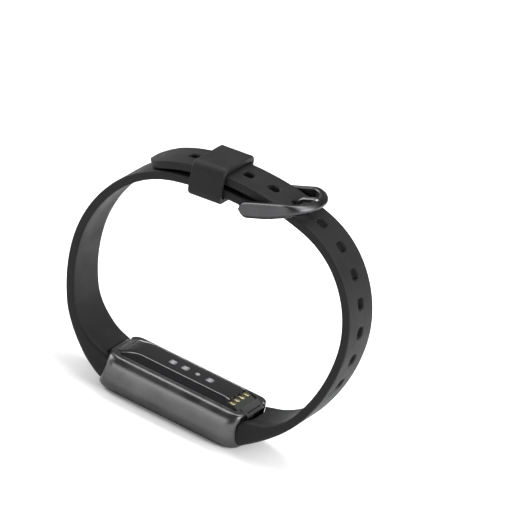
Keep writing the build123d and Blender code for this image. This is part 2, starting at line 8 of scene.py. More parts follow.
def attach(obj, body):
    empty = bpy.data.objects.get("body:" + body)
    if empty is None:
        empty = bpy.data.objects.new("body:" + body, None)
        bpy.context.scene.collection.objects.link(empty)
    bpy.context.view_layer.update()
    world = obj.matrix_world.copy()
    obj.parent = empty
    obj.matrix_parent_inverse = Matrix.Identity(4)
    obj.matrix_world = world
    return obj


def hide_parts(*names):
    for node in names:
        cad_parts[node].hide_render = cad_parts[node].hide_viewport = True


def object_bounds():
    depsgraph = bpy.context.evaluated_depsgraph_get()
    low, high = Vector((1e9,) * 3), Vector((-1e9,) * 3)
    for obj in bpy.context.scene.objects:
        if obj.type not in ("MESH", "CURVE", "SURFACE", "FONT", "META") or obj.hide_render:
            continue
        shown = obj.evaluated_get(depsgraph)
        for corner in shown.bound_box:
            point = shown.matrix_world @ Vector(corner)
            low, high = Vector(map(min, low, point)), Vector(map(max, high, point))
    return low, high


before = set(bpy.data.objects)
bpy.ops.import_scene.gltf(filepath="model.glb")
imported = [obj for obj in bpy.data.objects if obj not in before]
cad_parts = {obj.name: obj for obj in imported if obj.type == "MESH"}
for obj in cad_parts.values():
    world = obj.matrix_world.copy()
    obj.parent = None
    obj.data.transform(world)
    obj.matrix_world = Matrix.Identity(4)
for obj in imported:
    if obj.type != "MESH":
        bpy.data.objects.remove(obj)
cad_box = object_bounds()

# ---------------------------------------------------------------- display glass
# A slab of black cover glass, ground flat on its face and rounded down to the rim of the case.
# The panel is bonded behind it, so the lit area only shows as a slightly different black.
MM = 0.001
CLEAR = 0.05


def build(name, points, faces, crease=32.0):
    """Mesh object from points in millimetres: outward normals, smooth but for edges over the crease angle."""
    mesh = bpy.data.meshes.new(name)
    mesh.from_pydata([Vector(p) * MM for p in points], [], faces)
    work = bmesh.new()
    work.from_mesh(mesh)
    bmesh.ops.remove_doubles(work, verts=work.verts, dist=1e-7)
    bmesh.ops.dissolve_degenerate(work, edges=work.edges, dist=1e-8)
    bmesh.ops.recalc_face_normals(work, faces=work.faces)
    work.to_mesh(mesh)
    work.free()
    piece = bpy.data.objects.new(name, mesh)
    bpy.context.collection.objects.link(piece)
    soften(piece, crease)
    return piece


def soften(piece, crease):
    """Smooth shading with real edges kept sharp."""
    for face in piece.data.polygons:
        face.use_smooth = True
    piece.data.set_sharp_from_angle(angle=radians(crease))


def bake(piece, crease=32.0):
    """Turns a piece and its modifiers into one plain mesh."""
    result = bpy.data.meshes.new_from_object(piece.evaluated_get(bpy.context.evaluated_depsgraph_get()))
    piece.modifiers.clear()
    piece.data = result
    soften(piece, crease)
    return piece


def loft(rings, closed_rings=True, closed_path=False, caps=True):
    """Points and faces of a skin over rings of equal size, with plain faces over its two ends."""
    size = len(rings[0])
    points = [p for ring in rings for p in ring]
    faces = []
    steps = len(rings) if closed_path else len(rings) - 1
    for i in range(steps):
        a, b = i * size, ((i + 1) % len(rings)) * size
        for j in range(size if closed_rings else size - 1):
            k = (j + 1) % size
            faces.append((a + j, a + k, b + k, b + j))
    if caps and not closed_path:
        faces.append(tuple(reversed(range(size))))
        faces.append(tuple(range(len(points) - size, len(points))))
    return points, faces


def corner_outline(half_x, half_y, radius, arc_steps=14, long_steps=24, short_steps=8):
    """Rounded rectangle seen from above: points with their outward directions, anticlockwise."""
    outline = []
    sides = [
        ((half_x, -half_y + radius), (0, 1), 2 * (half_y - radius), short_steps, 0.0),
        ((half_x - radius, half_y), (-1, 0), 2 * (half_x - radius), long_steps, 90.0),
        ((-half_x, half_y - radius), (0, -1), 2 * (half_y - radius), short_steps, 180.0),
        ((-half_x + radius, -half_y), (1, 0), 2 * (half_x - radius), long_steps, 270.0),
    ]
    for (x, y), (dx, dy), length, steps, turn in sides:
        n = (cos(radians(turn)), sin(radians(turn)))
        for i in range(steps):
            outline.append((x + dx * length * i / steps, y + dy * length * i / steps, *n))
        cx, cy = x + dx * length - n[0] * radius, y + dy * length - n[1] * radius
        for i in range(arc_steps):
            a = radians(turn + 90.0 * i / arc_steps)
            outline.append((cx + radius * cos(a), cy + radius * sin(a), cos(a), sin(a)))
    return outline


GLASS_X, GLASS_Y, GLASS_CORNER = 17.97, 7.2, 3.8
GLASS_THICK, GLASS_EDGE = 1.25, 0.8


def finish_nodes(name):
    """New node material: its tree, its Principled shader and its object coordinates."""
    material = bpy.data.materials.new(name)
    material.use_nodes = True
    tree = material.node_tree
    shader = tree.nodes["Principled BSDF"]
    coords = tree.nodes.new("ShaderNodeTexCoord")
    return material, tree, shader, coords.outputs["Object"]


def noise(tree, coords, size_mm, detail=2.0, roughness=0.5):
    """Noise whose features are about size_mm across."""
    node = tree.nodes.new("ShaderNodeTexNoise")
    node.inputs["Scale"].default_value = 1.0 / (size_mm * MM)
    node.inputs["Detail"].default_value = detail
    node.inputs["Roughness"].default_value = roughness
    tree.links.new(coords, node.inputs["Vector"])
    return node.outputs["Fac"]


def remap(tree, value, low, high, start=0.0, stop=1.0):
    """Value from start to stop, spread over low to high."""
    node = tree.nodes.new("ShaderNodeMapRange")
    for socket, number in (("From Min", start), ("From Max", stop), ("To Min", low), ("To Max", high)):
        node.inputs[socket].default_value = number
    tree.links.new(value, node.inputs["Value"])
    return node.outputs["Result"]


def blend_colour(tree, factor, first, second):
    """Colour between two, by a factor; either may be a colour or a socket."""
    node = tree.nodes.new("ShaderNodeMix")
    node.data_type = "RGBA"
    tree.links.new(factor, node.inputs["Factor"])
    for socket, colour in ((node.inputs[6], first), (node.inputs[7], second)):
        if isinstance(colour, tuple):
            socket.default_value = (*colour, 1.0)
        else:
            tree.links.new(colour, socket)
    return node.outputs[2]


def bump(tree, height, depth_mm, normal=None):
    """Bump of a real depth from a height between 0 and 1."""
    node = tree.nodes.new("ShaderNodeBump")
    node.inputs["Strength"].default_value = 1.0
    node.inputs["Distance"].default_value = depth_mm * MM
    tree.links.new(height, node.inputs["Height"])
    if normal is not None:
        tree.links.new(normal, node.inputs["Normal"])
    return node.outputs["Normal"]


def clothe(piece, material, body, slot, *nodes):
    """Gives a finished piece its material and body and hides the CAD nodes that it stands for; slot is not used."""
    piece.data.materials.clear()
    piece.data.materials.append(material)
    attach(piece, body)
    if nodes:
        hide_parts(*nodes)


def glass_mesh():
    steps = [(0.0, GLASS_THICK), (0.0, GLASS_EDGE)]
    for i in range(1, 11):
        a = radians(9.0 * i)
        steps.append((GLASS_EDGE * (1 - cos(a)), GLASS_EDGE * (1 - sin(a))))
    outline = corner_outline(GLASS_X, GLASS_Y, GLASS_CORNER)
    return build("cover_glass", *loft([[(x - nx * inset, y - ny * inset, z) for x, y, nx, ny in outline]
                                       for inset, z in steps]))


def glass_finish():
    material, tree, shader, coords = finish_nodes("black display glass")
    shader.inputs["IOR"].default_value = 1.52
    shader.inputs["Coat Weight"].default_value = 0.6
    shader.inputs["Coat Roughness"].default_value = 0.02
    smudge = noise(tree, coords, 7.0, 3.0)
    tree.links.new(remap(tree, smudge, 0.03, 0.09, 0.35, 0.7), shader.inputs["Roughness"])
    split = tree.nodes.new("ShaderNodeSeparateXYZ")
    tree.links.new(coords, split.inputs[0])
    edges = []
    for axis, half in (("X", 14.2), ("Y", 5.0)):
        size = tree.nodes.new("ShaderNodeMath")
        size.operation = "ABSOLUTE"
        tree.links.new(split.outputs[axis], size.inputs[0])
        edges.append(remap(tree, size.outputs[0], 1.0, 0.0, (half - 0.1) * MM, (half + 0.1) * MM))
    both = tree.nodes.new("ShaderNodeMath")
    both.operation = "MULTIPLY"
    tree.links.new(edges[0], both.inputs[0])
    tree.links.new(edges[1], both.inputs[1])
    tree.links.new(blend_colour(tree, both.outputs[0], (0.006, 0.006, 0.007), (0.013, 0.013, 0.015)),
                   shader.inputs["Base Color"])
    return material


clothe(glass_mesh(), glass_finish(), "root", "display_glass", "front_glass")

# ---------------------------------------------------------------- metal case
# One ring of graphite-anodised metal, milled, fine-blasted and dyed, with crowned sides and hollow
# ends that the straps nest in.  The glass drops in from below and the black cover from above.
CASE_X, CASE_Y, CASE_CORNER = 18.4, 8.8, 4.4
RIM_Z, SEAM_Z = 0.75, 8.65
HOLLOW_R, HOLLOW_Z, WAIST_X = 16.0, 7.0, 17.1
LOW_R, LOW_Z = 4.225, 3.75
SEAM_INSET, HIGH_Z = 3.05, 4.75
LIP_FROM_Y = 4.1
END_ROUND_LOW, END_ROUND_HIGH = 0.7, 0.45
CAVITY_Y, CAVITY_CORNER, CAVITY_LOW, CAVITY_HIGH = 7.3, 2.5, 2.3, 7.5
LEDGE_INSET, LEDGE_CORNER, LEDGE_Z = 1.1, 2.7, 1.42
COVER_X, COVER_Y, COVER_CORNER = 15.28, 5.33, 1.3
WELL_X, WELL_Y = 15.34, 3.98


def hollow_x(z, inset=0.0):
    """X of the hollow end face, or of a surface a little outside it."""
    return WAIST_X + HOLLOW_R - sqrt((HOLLOW_R - inset) ** 2 - (z - HOLLOW_Z) ** 2)


def side_inset(z):
    """How far the crowned side stands in from its widest line."""
    if z < LOW_Z:
        return LOW_R - sqrt(LOW_R ** 2 - (LOW_Z - z) ** 2)
    if z > HIGH_Z:
        rise = min(1.0, (z - HIGH_Z) / (SEAM_Z - HIGH_Z))
        return SEAM_INSET * (1 - (1 - rise ** 2.5) ** 0.4)
    return 0.0


def smooth(t):
    """Eases from 0 to 1."""
    t = min(1.0, max(0.0, t))
    return t * t * (3 - 2 * t)


def end_lip(z, y):
    """How far the hollow end flares out at its upper corners, beside the release button."""
    return 0.4 * smooth((z - 5.4) / 2.4) * smooth((abs(y) - LIP_FROM_Y) / 1.0)


def end_inset(z):
    """How far the hollow end stands in, with its lower and upper edges rounded over."""
    low, high = END_ROUND_LOW, END_ROUND_HIGH
    over = max(0.0, low - (z - RIM_Z))
    under = max(0.0, high - (SEAM_Z - z))
    rounding = low - sqrt(low ** 2 - over ** 2) + high - sqrt(high ** 2 - under ** 2)
    return CASE_X - hollow_x(z) + rounding


def case_mesh():
    heights = [RIM_Z + (SEAM_Z - RIM_Z) * (0.5 - 0.5 * cos(pi * i / 30)) for i in range(31)]
    inner = [
        (COVER_X + 0.06, COVER_Y + 0.06, COVER_CORNER, SEAM_Z - 0.02),
        (COVER_X + 0.04, COVER_Y + 0.04, COVER_CORNER, SEAM_Z - 0.12),
        (COVER_X + 0.04, COVER_Y + 0.04, COVER_CORNER, 7.9),
        (COVER_X - 0.1, CAVITY_Y, CAVITY_CORNER, CAVITY_HIGH),
        (COVER_X - 0.1, CAVITY_Y, CAVITY_CORNER, CAVITY_LOW),
        (GLASS_X - LEDGE_INSET, GLASS_Y - LEDGE_INSET, LEDGE_CORNER, LEDGE_Z),
        (GLASS_X + CLEAR, GLASS_Y + CLEAR, GLASS_CORNER, LEDGE_Z),
        (GLASS_X + CLEAR, GLASS_Y + CLEAR, GLASS_CORNER, RIM_Z + 0.08),
    ]
    outer = corner_outline(CASE_X, CASE_Y, CASE_CORNER)
    inner_outlines = [(corner_outline(hx, hy, r), z) for hx, hy, r, z in inner]
    rings = []
    for i, (x, y, nx, ny) in enumerate(outer):
        share = nx * nx
        ring = []
        for z in heights:
            inset = (1 - share) * side_inset(z) + share ** 2 * (end_inset(z) - end_lip(z, y))
            ring.append((x - nx * inset, y - ny * inset, z))
        ring += [(line[i][0], line[i][1], z) for line, z in inner_outlines]
        rings.append(ring)
    return build("graphite_case", *loft(rings, closed_path=True))


def block_mesh(name, low, high, bevel=0.0, segments=3):
    """Box between two corners, with its edges rounded."""
    points = [(x, y, z) for x in (low[0], high[0]) for y in (low[1], high[1]) for z in (low[2], high[2])]
    faces = [(0, 1, 3, 2), (4, 6, 7, 5), (0, 4, 5, 1), (2, 3, 7, 6), (0, 2, 6, 4), (1, 5, 7, 3)]
    piece = build(name, points, faces)
    if bevel:
        work = bmesh.new()
        work.from_mesh(piece.data)
        bmesh.ops.bevel(work, geom=work.edges, offset=bevel * MM, segments=segments, affect="EDGES", profile=0.5)
        work.to_mesh(piece.data)
        work.free()
        soften(piece, 32.0)
    return piece


def cut(piece, *tools, crease=32.0):
    """Takes the tools' shapes out of a piece and throws the tools away."""
    for tool in tools:
        modifier = piece.modifiers.new("cut", "BOOLEAN")
        modifier.operation = "DIFFERENCE"
        modifier.solver = "EXACT"
        modifier.object = tool
    bake(piece, crease)
    for tool in tools:
        bpy.data.objects.remove(tool)
    return piece


def well_tool(side):
    """The release button's well: open upwards and towards the strap."""
    low, high = sorted((side * WELL_X, side * 19.5))
    return block_mesh("well", (low, -WELL_Y, 6.1), (high, WELL_Y, 9.5), 0.12)


def speckle_group():
    """Fine blasted or moulded tooth: a colour, a roughness and a height that vary over the surface."""
    group = bpy.data.node_groups.new("fine tooth", "ShaderNodeTree")
    for name, kind in (("Vector", "NodeSocketVector"), ("Dark", "NodeSocketColor"), ("Light", "NodeSocketColor"),
                       ("Smoothest", "NodeSocketFloat"), ("Roughest", "NodeSocketFloat"),
                       ("Grain Scale", "NodeSocketFloat"), ("Patch Scale", "NodeSocketFloat")):
        group.interface.new_socket(name=name, in_out="INPUT", socket_type=kind)
    for name, kind in (("Color", "NodeSocketColor"), ("Roughness", "NodeSocketFloat"),
                       ("Height", "NodeSocketFloat")):
        group.interface.new_socket(name=name, in_out="OUTPUT", socket_type=kind)
    source = group.nodes.new("NodeGroupInput")
    result = group.nodes.new("NodeGroupOutput")
    link = group.links.new
    grain = group.nodes.new("ShaderNodeTexNoise")
    grain.inputs["Detail"].default_value = 3.0
    link(source.outputs["Vector"], grain.inputs["Vector"])
    link(source.outputs["Grain Scale"], grain.inputs["Scale"])
    patch = group.nodes.new("ShaderNodeTexNoise")
    patch.inputs["Detail"].default_value = 4.0
    link(source.outputs["Vector"], patch.inputs["Vector"])
    link(source.outputs["Patch Scale"], patch.inputs["Scale"])
    both = group.nodes.new("ShaderNodeMath")
    both.operation = "MULTIPLY_ADD"
    link(grain.outputs["Fac"], both.inputs[0])
    both.inputs[1].default_value = 0.45
    link(patch.outputs["Fac"], both.inputs[2])
    spread = remap(group, both.outputs[0], 0.0, 1.0, 0.5, 0.95)
    tint = group.nodes.new("ShaderNodeMix")
    tint.data_type = "RGBA"
    link(spread, tint.inputs["Factor"])
    link(source.outputs["Dark"], tint.inputs[6])
    link(source.outputs["Light"], tint.inputs[7])
    link(tint.outputs[2], result.inputs["Color"])
    rough = group.nodes.new("ShaderNodeMapRange")
    link(spread, rough.inputs["Value"])
    link(source.outputs["Smoothest"], rough.inputs["To Min"])
    link(source.outputs["Roughest"], rough.inputs["To Max"])
    link(rough.outputs["Result"], result.inputs["Roughness"])
    link(grain.outputs["Fac"], result.inputs["Height"])
    return group


TOOTH = speckle_group()


def tooth(tree, coords, dark, light, smoothest, roughest, grain_mm, patch_mm):
    """Places the fine tooth in a material with its own colours and sizes."""
    node = tree.nodes.new("ShaderNodeGroup")
    node.node_tree = TOOTH
    tree.links.new(coords, node.inputs["Vector"])
    node.inputs["Dark"].default_value = (*dark, 1.0)
    node.inputs["Light"].default_value = (*light, 1.0)
    node.inputs["Smoothest"].default_value = smoothest
    node.inputs["Roughest"].default_value = roughest
    node.inputs["Grain Scale"].default_value = 1.0 / (grain_mm * MM)
    node.inputs["Patch Scale"].default_value = 1.0 / (patch_mm * MM)
    return node


def edge_group():
    """Rubbed edges: a mask that is 1 on convex edges, broken up by fine noise."""
    group = bpy.data.node_groups.new("rubbed edges", "ShaderNodeTree")
    for name, kind in (("Vector", "NodeSocketVector"), ("Low", "NodeSocketFloat"), ("High", "NodeSocketFloat")):
        group.interface.new_socket(name=name, in_out="INPUT", socket_type=kind)
    group.interface.new_socket(name="Mask", in_out="OUTPUT", socket_type="NodeSocketFloat")
    source = group.nodes.new("NodeGroupInput")
    result = group.nodes.new("NodeGroupOutput")
    link = group.links.new
    shape = group.nodes.new("ShaderNodeNewGeometry")
    spread = group.nodes.new("ShaderNodeMapRange")
    link(shape.outputs["Pointiness"], spread.inputs["Value"])
    link(source.outputs["Low"], spread.inputs["From Min"])
    link(source.outputs["High"], spread.inputs["From Max"])
    breaks = noise(group, source.outputs["Vector"], 0.8, 3.0)
    broken = remap(group, breaks, 0.35, 1.0, 0.3, 0.62)
    mask = group.nodes.new("ShaderNodeMath")
    mask.operation = "MULTIPLY"
    mask.use_clamp = True
    link(spread.outputs["Result"], mask.inputs[0])
    link(broken, mask.inputs[1])
    link(mask.outputs[0], result.inputs["Mask"])
    return group


RUBBED = edge_group()


def rubbed(tree, coords, low=0.52, high=0.62):
    """Mask of the edges that handling has polished."""
    node = tree.nodes.new("ShaderNodeGroup")
    node.node_tree = RUBBED
    tree.links.new(coords, node.inputs["Vector"])
    node.inputs["Low"].default_value = low
    node.inputs["High"].default_value = high
    return node.outputs["Mask"]


def metal_finish(name, dark, light, worn, smoothest, roughest, metallic, grain_mm=0.09, depth_mm=0.004):
    material, tree, shader, coords = finish_nodes(name)
    shader.inputs["Metallic"].default_value = metallic
    skin = tooth(tree, coords, dark, light, smoothest, roughest, grain_mm, 5.0)
    mask = rubbed(tree, coords)
    tree.links.new(blend_colour(tree, mask, skin.outputs["Color"], worn), shader.inputs["Base Color"])
    tree.links.new(skin.outputs["Roughness"], shader.inputs["Roughness"])
    tree.links.new(bump(tree, skin.outputs["Height"], depth_mm), shader.inputs["Normal"])
    return material


case = cut(case_mesh(), well_tool(1), well_tool(-1))
clothe(case, metal_finish("graphite anodised", (0.088, 0.088, 0.09), (0.118, 0.118, 0.12), (0.22, 0.22, 0.225),
                          0.26, 0.36, 1.0), "root", "case_metal", "case_shell")

# ---------------------------------------------------------------- back cover
# A gloss black moulding that sits on the skin: a raised flat with softly falling sides, four windows for
# the optical sensor, and a recess at one end for the charging contacts.
FLAT_X, FLAT_Y, FLAT_CORNER, TOP_Z = 12.5, 3.35, 2.1, 10.0
COVER_END_Z = 9.0
FALL_FROM_X, FALL_LENGTH = 12.3, 3.0
POCKET_Z = 9.6
CARRIER_X0, CARRIER_X1, CARRIER_Y = 12.3, 15.3, 4.7
WINDOW_SIZES = [(1.8, 2.0), (1.8, 2.0), (1.1, 1.3), (1.8, 2.0)]
WINDOW_FIRST, WINDOW_PITCH = -4.4, 3.2


def cover_mesh():
    low = corner_outline(COVER_X, COVER_Y, COVER_CORNER)
    high = corner_outline(FLAT_X, FLAT_Y, FLAT_CORNER)
    steps = 14
    rings = [[(x, y, 7.9) for x, y, _, _ in low], [(x, y, 8.55) for x, y, _, _ in low]]
    for i in range(steps + 1):
        t = i / steps
        along = 2 * t * (1 - t) * 0.70 + t * t
        rise = 2 * t * (1 - t) * 0.98 + t * t
        ring = []
        for (x0, y0, nx, _), (x1, y1, _, _) in zip(low, high):
            start = 8.68 + (COVER_END_Z - 8.68) * nx * nx
            ring.append((x0 + (x1 - x0) * along, y0 + (y1 - y0) * along, start + (TOP_Z - start) * rise))
        rings.append(ring)
    return build("gloss_cover", *loft(rings), crease=40.0)


def window_places():
    return [(WINDOW_FIRST + i * WINDOW_PITCH, *size) for i, size in enumerate(WINDOW_SIZES)]


def tile(name, x, y, length, width, z0, z1, radius, bevel):
    """Small plate with rounded corners and a rounded upper edge."""
    outline = corner_outline(length / 2, width / 2, radius, 6, 2, 2)
    rings = [[(x + px, y + py, z0) for px, py, _, _ in outline]]
    for i in range(5):
        a = radians(22.5 * i)
        inset, z = bevel * (1 - cos(a)), z1 - bevel * (1 - sin(a))
        rings.append([(x + px - nx * inset, y + py - ny * inset, z) for px, py, nx, ny in outline])
    return build(name, *loft(rings), crease=50.0)


def cover_slope_z(x):
    """Height of the cover's ridge where it falls to its ends."""
    return TOP_Z - max(0.0, abs(x) - FALL_FROM_X) / FALL_LENGTH


def recess_tool():
    """The contact recess: a rounded pocket that runs out of the cover's end."""
    return block_mesh("recess", (CARRIER_X0, -CARRIER_Y, 8.1), (CARRIER_X1 + 2, CARRIER_Y, 11.0), 0.25)


def gloss_finish(name, colour, roughest, smoothest=0.04):
    """Polished black plastic: faint moulding waviness and hair-fine handling marks."""
    material, tree, shader, coords = finish_nodes(name)
    shader.inputs["IOR"].default_value = 1.5
    marks = noise(tree, coords, 2.5, 5.0, 0.65)
    tree.links.new(remap(tree, marks, smoothest, roughest, 0.4, 0.75), shader.inputs["Roughness"])
    dust = remap(tree, noise(tree, coords, 0.35, 4.0, 0.7), 0.0, 1.0, 0.62, 0.9)
    lighter = tuple(min(1.0, c * 1.9) for c in colour)
    tree.links.new(blend_colour(tree, dust, colour, lighter), shader.inputs["Base Color"])
    tree.links.new(bump(tree, noise(tree, coords, 4.0, 1.0), 0.004), shader.inputs["Normal"])
    return material


GLOSS_BLACK = gloss_finish("gloss black moulding", (0.012, 0.012, 0.013), 0.16, 0.07)
pockets = [tile("pocket", x, 0.0, length, width, POCKET_Z, 10.4, 0.35, 0.02)
           for x, length, width in window_places()]
cover = cut(cover_mesh(), recess_tool(), *pockets, crease=40.0)
clothe(cover, GLOSS_BLACK, "root", "cover_black", "back_cover")

# ---------------------------------------------------------------- sensor windows
# Four light-grey translucent tiles, moulded flush with the flat.  The sensor's emitters and its detector look
# through them at the skin.


def join(name, pieces):
    """Several meshes as one piece."""
    points, faces = [], []
    for piece in pieces:
        base = len(points)
        points += [tuple(v.co / MM) for v in piece.data.vertices]
        faces += [tuple(base + i for i in face.vertices) for face in piece.data.polygons]
        bpy.data.objects.remove(piece)
    return points, faces


def window_finish():
    material, tree, shader, coords = finish_nodes("window grey")
    shader.inputs["Subsurface Weight"].default_value = 0.2
    shader.inputs["Subsurface Radius"].default_value = (0.0006, 0.0006, 0.0006)
    shader.inputs["Coat Weight"].default_value = 0.5
    cloud = noise(tree, coords, 0.7, 3.0)
    split = tree.nodes.new("ShaderNodeSeparateXYZ")
    tree.links.new(coords, split.inputs[0])
    steps = [("SUBTRACT", (WINDOW_FIRST - WINDOW_PITCH / 2) * MM), ("MODULO", WINDOW_PITCH * MM),
             ("SUBTRACT", WINDOW_PITCH / 2 * MM), ("ABSOLUTE", 0.0)]
    value = split.outputs["X"]
    for operation, number in steps:
        step = tree.nodes.new("ShaderNodeMath")
        step.operation = operation
        step.inputs[1].default_value = number
        tree.links.new(value, step.inputs[0])
        value = step.outputs[0]
    heart = remap(tree, value, 1.0, 0.0, 0.3 * MM, 0.6 * MM)
    frosted = blend_colour(tree, cloud, (0.09, 0.09, 0.096), (0.16, 0.16, 0.17))
    tree.links.new(blend_colour(tree, heart, frosted, (0.28, 0.28, 0.285)), shader.inputs["Base Color"])
    tree.links.new(remap(tree, cloud, 0.15, 0.3), shader.inputs["Roughness"])
    return material


tiles = [tile(f"tile_{i}", x, 0.0, length - 0.06, width - 0.06, POCKET_Z, TOP_Z - 0.005, 0.33, 0.08)
         for i, (x, length, width) in enumerate(window_places())]
windows = build("light_windows", *join("light_windows", tiles), crease=50.0)
clothe(windows, window_finish(), "root", "window_grey", "sensor_windows")

# ---------------------------------------------------------------- charging contacts
# Four plated pads in a dark moulded insert.  The insert follows the sloping end of the cover, a little below
# it, and the pads stand just proud of the insert.
CONTACT_X, CONTACT_PITCH, CONTACT_LENGTH, CONTACT_WIDTH = 13.1, 2.25, 1.5, 1.15
CARRIER_SINK = 0.6


def contact_places():
    return [(i - 1.5) * CONTACT_PITCH for i in range(4)]


def carrier_mesh():
    half = CARRIER_Y - 0.02
    x0, x1 = CARRIER_X0 + 0.02, CARRIER_X1
    low = 8.3
    profile = [(x0, low), (x1, low), (x1, cover_slope_z(x1) - CARRIER_SINK),
               (x0, cover_slope_z(x0) - CARRIER_SINK)]
    rings = [[(x, y, z) for x, z in profile] for y in (-half, half)]
    carrier = build("contact_insert", *loft(rings))
    seats = [tile("seat", CONTACT_X, y, CONTACT_LENGTH + 0.24, CONTACT_WIDTH + 0.24, 8.75, 9.8, 0.5, 0.02)
             for y in contact_places()]
    return cut(carrier, *seats)


def plain_finish(name, dark, light, smoothest, roughest, metallic=0.0, grain_mm=0.2, patch_mm=3.0, depth_mm=0.01):
    material, tree, shader, coords = finish_nodes(name)
    shader.inputs["Metallic"].default_value = metallic
    skin = tooth(tree, coords, dark, light, smoothest, roughest, grain_mm, patch_mm)
    tree.links.new(skin.outputs["Color"], shader.inputs["Base Color"])
    tree.links.new(skin.outputs["Roughness"], shader.inputs["Roughness"])
    tree.links.new(bump(tree, skin.outputs["Height"], depth_mm), shader.inputs["Normal"])
    return material


DARK_INSERT = plain_finish("dark insert", (0.012, 0.015, 0.013), (0.03, 0.036, 0.03), 0.38, 0.55,
                           grain_mm=0.12, patch_mm=2.0)
clothe(carrier_mesh(), DARK_INSERT, "root", "insert_dark", "contact_carrier")
contact_top = cover_slope_z(CONTACT_X) - CARRIER_SINK + 0.07
pads = [tile(f"pad_{i}", CONTACT_X, y, CONTACT_LENGTH, CONTACT_WIDTH, 8.7, contact_top, 0.42, 0.16)
        for i, y in enumerate(contact_places())]
contacts = build("plated_contacts", *join("plated_contacts", pads), crease=60.0)
clothe(contacts, metal_finish("pale gold plating", (0.62, 0.53, 0.27), (0.80, 0.72, 0.42), (0.9, 0.85, 0.6),
                              0.22, 0.4, 1.0, 0.15), "root", "contact_gold", "charge_contacts")

# ---------------------------------------------------------------- release buttons
# A gloss black bar at each end of the cover, with a slit for a fingernail.  It is pressed down against a
# steel leaf to let go of the strap's tongue.
BUTTON_X, STEM_X, CAP_X, BUTTON_Y = 15.42, 17.07, 17.9, 3.9
BUTTON_Z, CAP_Z, SLIT_FROM_EDGE = 6.7, 7.75, 0.8


def button_mesh(side):
    high, low, edge = COVER_END_Z, 8.15, 0.16
    profile = [(BUTTON_X, BUTTON_Z), (STEM_X, BUTTON_Z), (STEM_X, CAP_Z), (CAP_X - edge, CAP_Z)]
    for cx, cz, start, stop in ((CAP_X - edge, CAP_Z + edge, -90.0, 0.0), (CAP_X - edge, low - edge, 0.0, 70.0),
                                (BUTTON_X + edge, high - edge, 70.0, 180.0)):
        for i in range(7):
            a = radians(start + (stop - start) * i / 6)
            profile.append((cx + edge * cos(a), cz + edge * sin(a)))
    ends = []
    for i in range(6):
        a = radians(18.0 * i)
        ends.append((BUTTON_Y - 0.3 + 0.3 * sin(a), 0.3 * (1 - cos(a))))
    ends.reverse()
    middle = (BUTTON_X + CAP_X) / 2
    rings = []
    for y, pull in [(-e[0], e[1]) for e in ends] + [(e[0], e[1]) for e in reversed(ends)]:
        squeeze = 1 - 2 * pull / (CAP_X - BUTTON_X)
        rings.append([(side * (middle + (x - middle) * squeeze), y, z) for x, z in profile])
    name = "release_button_" + ("right" if side > 0 else "left")
    bar = build(name, *loft(rings))
    slit_x = side * (CAP_X - SLIT_FROM_EDGE)
    slit = block_mesh("slit", (slit_x - 0.14, -3.2, 8.05), (slit_x + 0.14, 3.2, 9.6), 0.05)
    return cut(bar, slit)


BUTTON_BLACK = gloss_finish("button black", (0.05, 0.05, 0.052), 0.3, 0.16)
for side, word in ((1, "hole_side"), (-1, "buckle_side")):
    clothe(button_mesh(side), BUTTON_BLACK, f"button_{word}", "latch_black", f"release_button_{word}")

# ---------------------------------------------------------------- strap with the adjustment holes
# Moulded black silicone, matt all over, with softly broken edges.  One end is moulded round a stiff tongue
# that latches in the case; the other is the rounded tail with its row of rounded square holes.
STRAP_Y, STRAP_T, LAYER_STEP = 11.9, 2.0, 3.0
CROWN_Z, CROWN_R = 55.45, 62.0
CENTRE_Z = CROWN_Z - CROWN_R
BUCKLE_ARCS = [(22.0, 54.0), (26.9, 90.0), (35.2, 113.3)]
HOLE_ARCS = [(22.0, 50.5), (25.7, 92.0), (37.6, 121.0)]
BUCKLE_CROWN_END = degrees(asin((WAIST_X - 7.423) / (CROWN_R - 22.0)))
HOLE_CROWN_END = degrees(asin((WAIST_X - 5.248) / (CROWN_R + LAYER_STEP - 22.0)))
TAIL_BEND_R, TAIL_LEAD = 30.0, 5.0
HOLE_COUNT, HOLE_PITCH, HOLE_FROM_TIP, HOLE_SIZE, HOLE_CORNER = 12, 6.5, 10.2, 2.6, 0.75
TANG_HOLE, TANG_HOLE_RUN = 4, 12.62
ROOT_LOW_Z, ROOT_RELIEF_Z, ROOT_HIGH = 1.1, 6.9, (WAIST_X + 1.45, 7.4)
ROOT_Y, FLARE_Z = 13.2, 20.0


def arc_run(start_z, arcs):
    """Tangent arcs leaving the crown level and turning down: centre, radius, first and last angle."""
    run = []
    x, z, angle = 0.0, start_z, 0.0
    for radius, last in arcs:
        centre = (x - radius * sin(radians(angle)), z - radius * cos(radians(angle)))
        run.append((centre, radius, angle, last))
        angle = last
        x = centre[0] + radius * sin(radians(angle))
        z = centre[1] + radius * cos(radians(angle))
    return run


def run_length(run):
    return sum(radius * radians(last - first) for _, radius, first, last in run)


def place_on(run, distance, side):
    """Point of the centre line and its outward direction, at a distance from the crown."""
    for centre, radius, first, last in run:
        length = radius * radians(last - first)
        if distance <= length + 1e-9:
            break
        distance -= length
    a = radians(first) + distance / radius
    return side * (centre[0] + radius * sin(a)), centre[1] + radius * cos(a), side * sin(a), cos(a)


